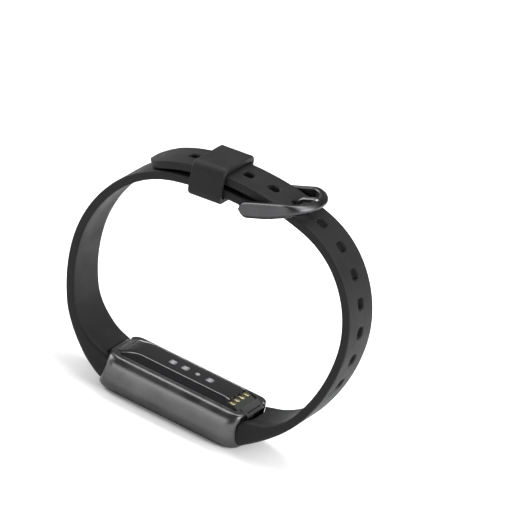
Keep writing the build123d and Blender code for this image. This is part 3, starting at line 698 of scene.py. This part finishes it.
TAIL_LENGTH = HOLE_FROM_TIP + TANG_HOLE * HOLE_PITCH - TANG_HOLE_RUN
TAIL_LEAVES = BUCKLE_CROWN_END - TAIL_LEAD
HOLE_CROWN_R = CROWN_R + LAYER_STEP
TAIL_BEND = degrees((TAIL_LENGTH - HOLE_CROWN_R * radians(TAIL_LEAVES)) / TAIL_BEND_R)
hole_run = arc_run(CROWN_Z + LAYER_STEP, [(HOLE_CROWN_R, HOLE_CROWN_END), *HOLE_ARCS])
hole_tail = arc_run(CROWN_Z + LAYER_STEP, [(HOLE_CROWN_R, TAIL_LEAVES), (TAIL_BEND_R, TAIL_LEAVES + TAIL_BEND)])


def bezier(a, b, c, d, t):
    return tuple((1 - t) ** 3 * p + 3 * t * (1 - t) ** 2 * q + 3 * t * t * (1 - t) * r + t ** 3 * s
                 for p, q, r, s in zip(a, b, c, d))


def shoulder_curve(run, side, offset, end, slope, handle, t):
    """Point of the curve from the last arc to the root, tangent to both."""
    (cx, cz), radius, _, last = run[-1]
    turn, slope = radians(last), radians(slope)
    start = (side * (cx + (radius + offset) * sin(turn)), cz + (radius + offset) * cos(turn))
    lead = (start[0] + side * handle * cos(turn), start[1] - handle * sin(turn))
    finish = (side * end[0], end[1])
    approach = (finish[0] + side * handle * cos(slope), finish[1] + handle * sin(slope))
    return bezier(start, lead, approach, finish, t)


def root_pull(v, y):
    """How far the root's end face stands off a flat one, to fill the hollow of the case's rounded end."""
    round_y = max(0.0, abs(y) - (CASE_Y - CASE_CORNER))
    corner = CASE_CORNER - sqrt(CASE_CORNER ** 2 - round_y ** 2)
    z = ROOT_HIGH[1] + (ROOT_LOW_Z - ROOT_HIGH[1]) * v
    low_x = hollow_x(ROOT_LOW_Z, 0.1)
    flat = ROOT_HIGH[0] + (low_x - ROOT_HIGH[0]) * v
    share = 1 - (round_y / CASE_CORNER) ** 2
    hug = CASE_X - share ** 2 * (CASE_X - hollow_x(z, 0.1) - end_lip(z, y)) - flat - corner
    if z <= ROOT_RELIEF_Z:
        return hug
    relief = hollow_x(ROOT_RELIEF_Z, 0.1)
    climb = (z - ROOT_RELIEF_Z) / (ROOT_HIGH[1] - ROOT_RELIEF_Z)
    clear = relief + (ROOT_HIGH[0] + 0.1 - relief) * climb - flat
    return clear + (hug - clear) * smooth((abs(y) - BUTTON_Y - 0.4) / 0.6)


def strap_section(width, depth, outer_round, inner_round):
    """Closed outline of a strap's section: y, share of the depth from the inner to the outer side."""
    def corner(cy, cz, radius, first):
        return [(cy + radius * cos(radians(first + 15 * i)), cz + radius * sin(radians(first + 15 * i)))
                for i in range(7)]

    half = width / 2
    ro, ri = (min(radius, depth * 0.49, half * 0.9) for radius in (outer_round, inner_round))
    loop = []
    corners = [corner(half - ri, ri, ri, -90), corner(half - ro, depth - ro, ro, 0),
               corner(-half + ro, depth - ro, ro, 90), corner(-half + ri, ri, ri, 180)]
    for i, points in enumerate(corners):
        loop += points
        start, stop = points[-1], corners[(i + 1) % 4][0]
        steps = 3 if i in (0, 2) else 12
        for k in range(1, steps):
            loop.append(tuple(start[j] + (stop[j] - start[j]) * k / steps for j in (0, 1)))
    return [(y, z / depth) for y, z in loop]


def strap_ring(outer, inner, width, outer_round, inner_round, side=1, pull=0.0):
    """One ring of a strap: its section between an outer and an inner point of the side view."""
    depth = hypot(outer[0] - inner[0], outer[1] - inner[1])
    ring = []
    for y, v in strap_section(width, depth, outer_round, inner_round):
        x = inner[0] + (outer[0] - inner[0]) * v + side * pull * root_pull(v, y)
        ring.append((x, y, inner[1] + (outer[1] - inner[1]) * v))
    return ring


EDGE_ROUND = 0.42


def band_rings(run, side, step=0.7):
    """Rings from the crown down to the last arc, then through the shoulder to the root."""
    rings = []
    length = run_length(run)
    count = int(length / step)
    for i in range(1, count + 1):
        x, z, nx, nz = place_on(run, length * i / count, side)
        half = STRAP_T / 2
        narrow = STRAP_Y + (ROOT_Y - STRAP_Y) * smooth((FLARE_Z - z) / 15.0)
        rings.append(strap_ring((x + nx * half, z + nz * half), (x - nx * half, z - nz * half),
                                narrow, EDGE_ROUND, EDGE_ROUND))
    slope = 36.0 if side > 0 else 27.0
    for i in range(1, 29):
        t = i / 28
        outer = shoulder_curve(run, side, STRAP_T / 2, (hollow_x(ROOT_LOW_Z, 0.1), ROOT_LOW_Z), slope, 5.4, t)
        inner = shoulder_curve(run, side, -STRAP_T / 2, ROOT_HIGH, 20.0, 4.3, t)
        width = STRAP_Y + (ROOT_Y - STRAP_Y) * smooth((FLARE_Z - (outer[1] + inner[1]) / 2) / 15.0)
        rings.append(strap_ring(outer, inner, width, EDGE_ROUND + 1.9 * smooth(t), EDGE_ROUND + 0.9 * smooth(t),
                                side, smooth((t - 0.7) / 0.3)))
    return rings


def tail_rings(run, side, step=0.7):
    """Rings from the tail's rounded tip to the crown."""
    length, tip_r = run_length(run), 5.4
    cuts = [tip_r * (1 - cos(radians(5 * i))) for i in range(19)]
    count = int((length - tip_r) / step)
    cuts += [tip_r + (length - tip_r) * i / count for i in range(1, count + 1)]
    rings = []
    for cut_from_tip in cuts:
        x, z, nx, nz = place_on(run, length - cut_from_tip, side)
        shy = max(0.0, tip_r - cut_from_tip)
        taper = 0.5 * smooth(1 - cut_from_tip / 16.0)
        width = STRAP_Y - taper - 2 * tip_r + 2 * sqrt(tip_r ** 2 - shy ** 2)
        thin = max(0.0, EDGE_ROUND - cut_from_tip)
        half = STRAP_T / 2 - EDGE_ROUND + sqrt(EDGE_ROUND ** 2 - thin ** 2)
        rings.append(strap_ring((x + nx * half, z + nz * half), (x - nx * half, z - nz * half),
                                width, EDGE_ROUND, EDGE_ROUND))
    return rings


def row_tree():
    """Geometry Nodes: copies of a piece along a path, the first at a distance and the rest at a pitch."""
    tree = bpy.data.node_groups.new("row along a path", "GeometryNodeTree")
    for name, kind in (("Path", "NodeSocketGeometry"), ("Piece", "NodeSocketObject"), ("Count", "NodeSocketInt"),
                       ("First", "NodeSocketFloat"), ("Pitch", "NodeSocketFloat"),
                       ("Material", "NodeSocketMaterial")):
        tree.interface.new_socket(name=name, in_out="INPUT", socket_type=kind)
    tree.interface.new_socket(name="Row", in_out="OUTPUT", socket_type="NodeSocketGeometry")
    new, link = tree.nodes.new, tree.links.new
    source, result = new("NodeGroupInput"), new("NodeGroupOutput")
    curve = new("GeometryNodeMeshToCurve")
    link(source.outputs["Path"], curve.inputs["Mesh"])
    points = new("GeometryNodePoints")
    link(source.outputs["Count"], points.inputs["Count"])
    index = new("GeometryNodeInputIndex")
    along = new("ShaderNodeMath")
    along.operation = "MULTIPLY_ADD"
    link(index.outputs["Index"], along.inputs[0])
    link(source.outputs["Pitch"], along.inputs[1])
    link(source.outputs["First"], along.inputs[2])
    sample = new("GeometryNodeSampleCurve")
    sample.mode = "LENGTH"
    link(curve.outputs["Curve"], sample.inputs["Curves"])
    link(along.outputs[0], sample.inputs["Length"])
    link(sample.outputs["Position"], points.inputs["Position"])
    turn = new("FunctionNodeAlignRotationToVector")
    turn.axis = "X"
    turn.pivot_axis = "Y"
    link(sample.outputs["Tangent"], turn.inputs["Vector"])
    piece = new("GeometryNodeObjectInfo")
    link(source.outputs["Piece"], piece.inputs["Object"])
    copies = new("GeometryNodeInstanceOnPoints")
    keep = new("GeometryNodeCaptureAttribute")
    keep.capture_items.new("ROTATION", "Turn")
    link(points.outputs["Points"], keep.inputs["Geometry"])
    link(turn.outputs["Rotation"], keep.inputs["Turn"])
    link(keep.outputs["Geometry"], copies.inputs["Points"])
    link(keep.outputs["Turn"], copies.inputs["Rotation"])
    link(piece.outputs["Geometry"], copies.inputs["Instance"])
    real = new("GeometryNodeRealizeInstances")
    link(copies.outputs["Instances"], real.inputs["Geometry"])
    dress = new("GeometryNodeSetMaterial")
    link(real.outputs["Geometry"], dress.inputs["Geometry"])
    link(source.outputs["Material"], dress.inputs["Material"])
    link(dress.outputs["Geometry"], result.inputs["Row"])
    return tree


ROW = row_tree()


def row_of(name, piece, path, count, first, pitch, material=None, crease=32.0):
    """Repeats a piece along a path of points and gives the result as one plain mesh."""
    mesh = bpy.data.meshes.new(name)
    mesh.from_pydata([Vector(p) * MM for p in path], [(i, i + 1) for i in range(len(path) - 1)], [])
    row = bpy.data.objects.new(name, mesh)
    bpy.context.collection.objects.link(row)
    modifier = row.modifiers.new("row", "NODES")
    modifier.node_group = ROW
    inputs = {item.name: item.identifier for item in ROW.interface.items_tree if item.in_out == "INPUT"}
    for key, value in (("Piece", piece), ("Count", count), ("First", first * MM), ("Pitch", pitch * MM),
                       ("Material", material)):
        modifier[inputs[key]] = value
    bake(row, crease)
    bpy.data.objects.remove(piece)
    return row


def hole_tool():
    """Rounded square cutter whose ends flare, so that it leaves softened rims."""
    flare = 0.28
    half = STRAP_T / 2 + 0.013
    heights = [(half + 0.4, flare + 0.25)]
    for i in range(5):
        a = radians(22.5 * i)
        heights.append((half - flare * sin(a), flare * (1 - sin(a))))
    profile = [(-z, out) for z, out in heights] + [(z, out) for z, out in reversed(heights)]
    outline = corner_outline(HOLE_SIZE / 2, HOLE_SIZE / 2, HOLE_CORNER, 5, 1, 1)
    rings = [[(x + nx * out, y + ny * out, z) for x, y, nx, ny in outline] for z, out in profile]
    return build("hole_tool", *loft(rings))


def centre_line(step=0.5):
    """The strap's centre line from the tail's tip to the last arc."""
    path = []
    for run, side in ((hole_tail, -1), (hole_run, 1)):
        length = run_length(run)
        count = int(length / step)
        part = [place_on(run, length * i / count, side)[:2] for i in range(count + 1)]
        path += [(x, 0.0, z) for x, z in (reversed(part) if side < 0 else part[1:])]
    return path


def silicone_finish(name, dark, light):
    """Matt silicone: a fine moulded tooth, soft unevenness and specks of lint in the tooth."""
    material, tree, shader, coords = finish_nodes(name)
    shader.inputs["IOR"].default_value = 1.43
    shader.inputs["Specular IOR Level"].default_value = 0.2
    skin = tooth(tree, coords, dark, light, 0.5, 0.68, 0.11, 6.0)
    mask = rubbed(tree, coords, 0.51, 0.6)
    worn = tuple(c * 1.5 for c in light)
    lint = remap(tree, noise(tree, coords, 0.22, 5.0, 0.75), 0.0, 0.5, 0.69, 0.8)
    base = blend_colour(tree, mask, skin.outputs["Color"], worn)
    tree.links.new(blend_colour(tree, lint, base, (0.05, 0.05, 0.05)), shader.inputs["Base Color"])
    tree.links.new(skin.outputs["Roughness"], shader.inputs["Roughness"])
    waves = bump(tree, noise(tree, coords, 3.2, 2.0), 0.012)
    tree.links.new(bump(tree, skin.outputs["Height"], 0.012, waves), shader.inputs["Normal"])
    return material


SILICONE = silicone_finish("matt silicone", (0.0075, 0.0075, 0.0078), (0.012, 0.012, 0.0125))
rings = tail_rings(hole_tail, -1) + band_rings(hole_run, 1)
hole_cutters = row_of("hole_cutters", hole_tool(), centre_line(), HOLE_COUNT, HOLE_FROM_TIP, HOLE_PITCH)
holed = cut(build("holed_strap", *loft(rings)), hole_cutters, crease=38.0)
clothe(holed, SILICONE, "root", "strap_silicone", "hole_strap")

# ---------------------------------------------------------------- strap with the buckle
# The same silicone, moulded round its own tongue at the case.  Its free end swells into a boss round the
# buckle's pin, slotted for the tang.
PIN_X, PIN_R, BOSS_R, BOSS_BLEND = 5.0, 0.75, 1.55, 3.2
PIN_ANGLE = degrees(asin(PIN_X / CROWN_R))
PIN_Z = CENTRE_Z + CROWN_R * cos(radians(PIN_ANGLE))
TANG_Y, TANG_T, TANG_RING_R = 1.5, 0.9, 1.4
buckle_run = arc_run(CROWN_Z, [(CROWN_R, BUCKLE_CROWN_END), *BUCKLE_ARCS])
buckle_tail = arc_run(CROWN_Z, [(CROWN_R, PIN_ANGLE + 5)])


def boss_rings():
    """Rings from the boss's rounded nose to the crown."""
    pin_run = CROWN_R * radians(PIN_ANGLE)
    cuts = [-BOSS_R * cos(radians(7.5 * i)) for i in range(1, 13)]
    cuts += [pin_run * i / 18 for i in range(1, 19)]
    rings = []
    for cut_from_pin in cuts:
        x, z, nx, nz = place_on(buckle_tail, pin_run - cut_from_pin, 1)
        if cut_from_pin <= 0:
            half = sqrt(BOSS_R ** 2 - cut_from_pin ** 2)
        else:
            half = STRAP_T / 2 + (BOSS_R - STRAP_T / 2) * (1 - smooth(cut_from_pin / BOSS_BLEND))
        rings.append(strap_ring((x + nx * half, z + nz * half), (x - nx * half, z - nz * half),
                                STRAP_Y, EDGE_ROUND, EDGE_ROUND))
    return rings


def rod(name, x, z, radius, half_y, bevel=0.0, sides=48):
    """Round bar across the band, with its ends broken."""
    rings = []
    for y, inset in ((-half_y, bevel), (-half_y + bevel, 0.0), (half_y - bevel, 0.0), (half_y, bevel)):
        r = radius - inset
        rings.append([(x + r * cos(2 * pi * i / sides), y, z + r * sin(2 * pi * i / sides)) for i in range(sides)])
    return build(name, *loft(rings))


band = build("buckle_band", *loft(boss_rings() + band_rings(buckle_run, -1)))
slot_x = PIN_X - TANG_RING_R - 0.2
slot = block_mesh("slot", (slot_x, -TANG_Y / 2 - 0.2, PIN_Z - 4), (PIN_X + 5, TANG_Y / 2 + 0.2, PIN_Z + 4))
band = cut(band, rod("pin_hole", PIN_X, PIN_Z, PIN_R + CLEAR, STRAP_Y), slot, crease=38.0)
clothe(band, SILICONE, "root", "strap_silicone", "buckle_strap")

# ---------------------------------------------------------------- keeper loop
# A separate loop of softer silicone with a duller skin.  It is moulded thick at its sides, rounded all over,
# and slides along both layers of the strap.
KEEPER_LENGTH, KEEPER_SIDE, KEEPER_WALL, KEEPER_ANGLE = 8.0, 1.35, 1.4, -5.9
KEEPER_LOW = CROWN_R - STRAP_T / 2 - 0.25 - KEEPER_LENGTH ** 2 / (8 * CROWN_R)
KEEPER_HIGH = HOLE_CROWN_R + STRAP_T / 2 + 0.25
KEEPER_CORNER = 2.1


def keeper_mesh():
    half_y = STRAP_Y / 2 + 0.35
    half_z = (KEEPER_HIGH - KEEPER_LOW) / 2
    middle = (KEEPER_HIGH + KEEPER_LOW) / 2
    outer = corner_outline(half_y + KEEPER_SIDE, half_z + KEEPER_WALL, KEEPER_CORNER, 10, 14, 6)
    inner = corner_outline(half_y, half_z, KEEPER_CORNER - KEEPER_WALL, 10, 14, 6)
    edge, half = 0.34, KEEPER_LENGTH / 2
    section = []
    for cx, cv, first in ((half - edge, 1, 0), (-half + edge, 1, 90),
                          (-half + edge, -1, 180), (half - edge, -1, 270)):
        for i in range(6):
            a = radians(first + 18 * i)
            section.append((cx + edge * cos(a), cv, edge * sin(a)))
    tilt = radians(KEEPER_ANGLE)
    rings = []
    for (oy, oz, _, _), (iy, iz, _, _) in zip(outer, inner):
        wall = hypot(oy - iy, oz - iz)
        ring = []
        for x, cv, lift in section:
            share = (1 - (edge - lift) / wall) if cv > 0 else (edge + lift) / wall
            y, z = iy + (oy - iy) * share, middle + iz + (oz - iz) * share
            swell = 0.12 * (1 - (x / half) ** 2) * (share - 0.5)
            z += swell * (1 if oz > 0 else -1)
            ring.append((x * cos(tilt) + z * sin(tilt), y, CENTRE_Z - x * sin(tilt) + z * cos(tilt)))
        rings.append(ring)
    return build("keeper", *loft(rings, closed_path=True), crease=50.0)


KEEPER_SKIN = silicone_finish("keeper silicone", (0.007, 0.007, 0.0073), (0.012, 0.012, 0.0125))
clothe(keeper_mesh(), KEEPER_SKIN, "keeper", "keeper_silicone", "keeper_loop")

# ---------------------------------------------------------------- buckle frame
# One casting of dark satin metal: two limbs from the pin, drawn into a rounded end bar.  A flat facet on each
# limb's outer side twists over the bend into the top of the bar, where a shallow notch takes the tang.
TILT = radians(21.5)
FRAME_Y, OPENING_Y, STRAIGHT, NOSE, BAR = 8.32, 6.42, 8.8, 5.5, 2.3
HEEL, LIMB_HALF = 2.5, 1.85
BAR_TOP = 1.05
NOTCH_DEPTH, NOTCH_END = 0.45, 13.5


def buckle_point(u, y, v):
    """From the buckle's own plane, along it and across it, to the band's."""
    return (PIN_X + u * cos(TILT) - v * sin(TILT), y, PIN_Z + u * sin(TILT) + v * cos(TILT))


def lerp(a, b, t):
    return a + (b - a) * t


def soft_polygon(corners, softness, steps=4):
    """Closed polygon whose corners are drawn round by a share of the sides beside them."""
    loop = []
    for i, point in enumerate(corners):
        before, after = corners[i - 1], corners[(i + 1) % len(corners)]
        start = [lerp(point[k], before[k], softness) for k in (0, 1)]
        stop = [lerp(point[k], after[k], softness) for k in (0, 1)]
        for j in range(steps + 1):
            t = j / steps
            loop.append([(1 - t) ** 2 * start[k] + 2 * t * (1 - t) * point[k] + t * t * stop[k] for k in (0, 1)])
    return loop


def frame_section(wide, low, high, turn):
    """Section across a limb, with its facet turned from its side at 0 to the bar's top at 1."""
    drop = lerp(0.42, 0.85, turn)
    inward = lerp(0.45, 0.95, turn)
    corners = [(0.25, low), (wide - lerp(0.75, 0.5, turn), low), (wide, low + lerp(0.95, 0.6, turn)),
               (wide, high - drop), (wide - inward, high), (lerp(0.2, 0.45, turn), high),
               (0.0, high - lerp(0.25, 0.5, turn)), (0.0, low + 0.3)]
    return soft_polygon(corners, lerp(0.22, 0.45, turn))


def frame_stations():
    """Inner and outer plan point, length along, and size factor, from one heel round to the other."""
    stations = []
    for i in range(1, 10):
        a = radians(10 * i)
        stations.append((LIMB_HALF - HEEL - LIMB_HALF * cos(a), sin(a), None))
    stations += [(lerp(LIMB_HALF - HEEL, STRAIGHT, i / 14), 1.0, None) for i in range(1, 15)]
    stations += [(STRAIGHT, 1.0, radians(90 - 3.75 * i)) for i in range(1, 25)]
    return stations


def frame_mesh():
    half_rings = []
    for u, size, bend in frame_stations():
        if bend is None:
            inner, outer, turn = (u, OPENING_Y), (u, FRAME_Y), 0.0
        else:
            inner = (STRAIGHT + (NOSE - BAR) * cos(bend), OPENING_Y * sin(bend))
            outer = (STRAIGHT + NOSE * cos(bend), FRAME_Y * sin(bend))
            turn = smooth((90 - degrees(bend)) / 70)
        reach = max(0.0, outer[0] - STRAIGHT) / NOSE
        high = lerp(LIMB_HALF, BAR_TOP + 0.06, reach)
        low = lerp(-LIMB_HALF, -1.0, smooth((outer[0] - 3.0) / 9.0)) + 0.1 * reach
        high, low = high * size, low * size
        wide = hypot(outer[0] - inner[0], outer[1] - inner[1])
        shrink = 0.5 + 0.5 * sqrt(size)
        ring = []
        for across, v in frame_section(wide, low, high, turn):
            a = 0.5 + (across / wide - 0.5) * shrink
            ring.append((lerp(inner[0], outer[0], a), lerp(inner[1], outer[1], a), v))
        half_rings.append(ring)
    rings = half_rings + [[(u, -y, v) for u, y, v in ring] for ring in reversed(half_rings[:-1])]
    points, faces = loft(rings)
    return build("frame", [buckle_point(*p) for p in points], faces, crease=28.0)


def notch_tool():
    """Trough with a round floor, where the tang's tip lies."""
    rings = []
    for u, grow in ((STRAIGHT, 0.0), (NOTCH_END - 0.9, 0.0), (NOTCH_END - 0.5, -0.08), (NOTCH_END - 0.2, -0.3),
                    (NOTCH_END, -0.75)):
        half = TANG_Y / 2 + 0.2 + grow
        ring = []
        for i in range(13):
            a = radians(180 + 15 * i)
            ring.append((half * cos(a), BAR_TOP + 0.15 + (NOTCH_DEPTH + 0.15 + grow * 0.4) * sin(a)))
        ring += [(half, BAR_TOP + 2), (-half, BAR_TOP + 2)]
        rings.append([buckle_point(u, y, v) for y, v in ring])
    return build("notch", *loft(rings))


GUNMETAL = metal_finish("dark gunmetal", (0.055, 0.055, 0.057), (0.075, 0.075, 0.077), (0.16, 0.16, 0.165),
                        0.24, 0.34, 1.0, 0.14)
frame_piece = cut(frame_mesh(), notch_tool(), rod("pin_seat", PIN_X, PIN_Z, PIN_R, FRAME_Y - 0.8), crease=28.0)
frame_piece.name = "satin_frame"
clothe(frame_piece, GUNMETAL, "buckle", "buckle_metal", "buckle_frame")

# ---------------------------------------------------------------- buckle tang
# A flat strip of the same dark metal, rolled into an eye on the pin, cranked up through a hole of the other
# strap and resting with its rounded tip in the notch of the bar.  Its colour is a lighter copy of the frame's
# metal: painted light, not a different finish.
TANG_UNDER, LOW_BEND, HIGH_BEND, TANG_REACH = 0.35, 0.9, 2.2, 13.25


def rounded_path(points, radii, step_angle=6.0):
    """Path through points with its inner corners rounded: position and direction of each step."""
    path = [points[0]]
    for i, radius in enumerate(radii, start=1):
        before, here, after = (Vector(points[k]) for k in (i - 1, i, i + 1))
        d0, d1 = (here - before).normalized(), (after - here).normalized()
        turn = d0.angle(d1)
        trim = radius * abs(sin(turn / 2) / cos(turn / 2))
        start, stop = here - d0 * trim, here + d1 * trim
        bow = 4 / 3 * radius * abs(sin(turn / 4) / cos(turn / 4))
        steps = max(3, int(degrees(turn) / step_angle))
        for k in range(steps + 1):
            path.append(bezier(start, start + d0 * bow, stop - d1 * bow, stop, k / steps))
    return path + [points[-1]]


def tang_route():
    x, z, nx, nz = place_on(hole_run, TANG_HOLE_RUN, 1)
    rest = BAR_TOP - NOTCH_DEPTH + 0.05 + TANG_T / 2
    below = STRAP_T / 2 + TANG_UNDER + TANG_T / 2
    start = (z - PIN_Z) * cos(TILT) - (x - PIN_X) * sin(TILT)
    above = (rest - start) / (nz * cos(TILT) - nx * sin(TILT))
    tip = buckle_point(TANG_REACH, 0, rest)
    return [(PIN_X, PIN_Z), (x - below * nx, z - below * nz), (x + above * nx, z + above * nz), (tip[0], tip[2])]


def tang_mesh():
    path = [Vector(p) for p in rounded_path(tang_route(), [LOW_BEND, HIGH_BEND])]
    dense = []
    for a, b in zip(path, path[1:]):
        count = max(1, int((b - a).length / 0.35))
        dense += [a.lerp(b, i / count) for i in range(count)]
    dense.append(path[-1])
    lengths = [0.0]
    for a, b in zip(dense, dense[1:]):
        lengths.append(lengths[-1] + (b - a).length)
    total = lengths[-1]
    rings = []
    for i, point in enumerate(dense):
        ahead = dense[min(i + 1, len(dense) - 1)] - dense[max(i - 1, 0)]
        normal = Vector((-ahead.y, ahead.x)).normalized()
        left = total - lengths[i]
        tip_r = TANG_Y / 2
        shy = max(0.0, tip_r - left)
        half_y = TANG_Y / 2 * lerp(0.25, 1.0, sqrt(max(0.0, 1 - (shy / tip_r) ** 2)))
        half_t = TANG_T / 2 * lerp(0.45, 1.0, min(1.0, sqrt(left / 0.6)))
        section = soft_polygon([(-half_y, -half_t), (half_y, -half_t), (half_y, half_t), (-half_y, half_t)], 0.3, 5)
        rings.append([(point.x + normal.x * v, y, point.y + normal.y * v) for y, v in section])
    return build("tang", *loft(rings), crease=40.0)


def unite(piece, *others, crease=32.0):
    """Welds pieces into one closed mesh."""
    for other in others:
        modifier = piece.modifiers.new("weld", "BOOLEAN")
        modifier.operation = "UNION"
        modifier.solver = "EXACT"
        modifier.object = other
    bake(piece, crease)
    for other in others:
        bpy.data.objects.remove(other)
    return piece


eye = rod("eye", PIN_X, PIN_Z, TANG_RING_R, TANG_Y / 2, 0.15)
tang_piece = cut(unite(tang_mesh(), eye), rod("bore", PIN_X, PIN_Z, PIN_R + CLEAR, 3.0), crease=40.0)
tang_piece.name = "cranked_tang"
# Painted light: the frame's dark metal with its colours about twice as light, as if the strip were better lit.
TANG_METAL_PAINTED_LIGHTER = metal_finish("tang gunmetal painted lighter", (0.11, 0.11, 0.113), (0.15, 0.15, 0.153), (0.26, 0.26, 0.265),
                          0.2, 0.32, 1.0, 0.12)
clothe(tang_piece, TANG_METAL_PAINTED_LIGHTER, "tang", "tang_metal", "buckle_tang")

# ---------------------------------------------------------------- what the case holds
# Inside and between: adhesive, display, seal, tray, cell, motor, boards, latch parts and the buckle's pin.
# They keep their exact shapes and take the finish of the stuff that each is made of.


INNER = [
    (("display_gasket",), plain_finish("foam adhesive", (0.02, 0.02, 0.02), (0.04, 0.04, 0.04), 0.7, 0.9)),
    (("display_panel",), plain_finish("panel black", (0.01, 0.01, 0.012), (0.02, 0.02, 0.024), 0.2, 0.3)),
    (("back_seal",), plain_finish("seal rubber", (0.05, 0.02, 0.02), (0.09, 0.03, 0.03), 0.5, 0.7)),
    (("midframe", "latch_tongue_hole_side", "latch_tongue_buckle_side"),
     plain_finish("glass-filled nylon", (0.03, 0.03, 0.03), (0.06, 0.06, 0.06), 0.4, 0.6)),
    (("battery_cell",), plain_finish("cell foil", (0.55, 0.56, 0.57), (0.72, 0.73, 0.74), 0.25, 0.45, 1.0)),
    (("vibration_motor_can", "latch_spring_hole_side", "latch_spring_buckle_side", "buckle_pin"),
     plain_finish("bright steel", (0.5, 0.5, 0.51), (0.66, 0.66, 0.67), 0.2, 0.35, 1.0, 0.1)),
    (("vibration_motor_rotor",),
     plain_finish("tungsten weight", (0.3, 0.3, 0.31), (0.42, 0.42, 0.43), 0.35, 0.5, 1.0)),
    (("main_board", "sensor_board"), plain_finish("solder mask", (0.01, 0.06, 0.03), (0.02, 0.10, 0.05), 0.25, 0.4)),
    (("board_chips",), plain_finish("chip epoxy", (0.015, 0.015, 0.016), (0.03, 0.03, 0.032), 0.45, 0.6)),
    (("sensor_leds",), plain_finish("clear emitter", (0.6, 0.62, 0.5), (0.8, 0.82, 0.7), 0.1, 0.2)),
]
for names, material in INNER:
    for name in names:
        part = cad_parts[name]
        for spot in part.material_slots:
            spot.material = material

# ---------------------------------------------------------------- floor, light and camera
# A pale floor under a faint even sky.  A softbox overhead, one at each side and a large one low in front draw
# the long highlights on metal and gloss.
TARGET = (6.9, 0.0, 42.4)
RIGHT = Vector((0.85304, 0.44740, 0.26862))
UP = Vector((-0.41463, 0.26853, 0.86947))
BACK = Vector((0.31686, -0.85307, 0.41457))


def stage_floor():
    size = 2500.0
    floor_z = cad_box[0][2] / MM
    mesh = bpy.data.meshes.new("floor")
    corners = ((-size, -size), (size, -size), (size, size), (-size, size))
    mesh.from_pydata([Vector((x, y, floor_z)) * MM for x, y in corners], [], [(0, 1, 2, 3)])
    floor = bpy.data.objects.new("floor", mesh)
    bpy.context.collection.objects.link(floor)
    material, tree, shader, coords = finish_nodes("pale sweep")
    cloud = noise(tree, coords, 300.0, 2.0)
    tree.links.new(blend_colour(tree, cloud, (0.86, 0.86, 0.86), (0.9, 0.9, 0.9)), shader.inputs["Base Color"])
    shader.inputs["Roughness"].default_value = 0.9
    shader.inputs["Specular IOR Level"].default_value = 0.0
    mesh.materials.append(material)


def softbox(name, place, aim, size, power):
    """Rectangular softbox at a place in millimetres, turned to a point."""
    data = bpy.data.lights.new(name, "AREA")
    data.shape = "RECTANGLE"
    data.size, data.size_y = size[0] * MM, size[1] * MM
    data.energy = power
    lamp = bpy.data.objects.new(name, data)
    bpy.context.collection.objects.link(lamp)
    lamp.location = Vector(place) * MM
    lamp.rotation_euler = (Vector(aim) - Vector(place)).to_track_quat("-Z", "Y").to_euler()


stage_floor()
sky = bpy.data.worlds.new("studio sky")
sky.use_nodes = True
sky.node_tree.nodes["Background"].inputs["Color"].default_value = (1.0, 1.0, 1.0, 1.0)
sky.node_tree.nodes["Background"].inputs["Strength"].default_value = 0.2
bpy.context.scene.world = sky
bpy.context.scene.view_settings.view_transform = "Standard"
softbox("overhead", (0, 220, 600), (0, 220, 0), (900, 260), 5.0)
softbox("right_side", (760, 60, 430), (0, 0, 20), (700, 700), 11.0)
softbox("left_side", (-760, 60, 430), (0, 0, 20), (700, 700), 9.0)
softbox("front_low", (-500, -1500, 460), (0, 0, 20), (1500, 850), 10.0)

camera_data = bpy.data.cameras.new("view")
camera_data.sensor_width = 36.0
camera_data.lens = 481.15
camera_data.clip_start, camera_data.clip_end = 0.1, 10.0
camera = bpy.data.objects.new("view", camera_data)
bpy.context.collection.objects.link(camera)
place = (Vector(TARGET) + BACK * 1500.0) * MM
camera.matrix_world = Matrix.Translation(place) @ Matrix((RIGHT, UP, BACK)).transposed().to_4x4()
bpy.context.scene.camera = camera
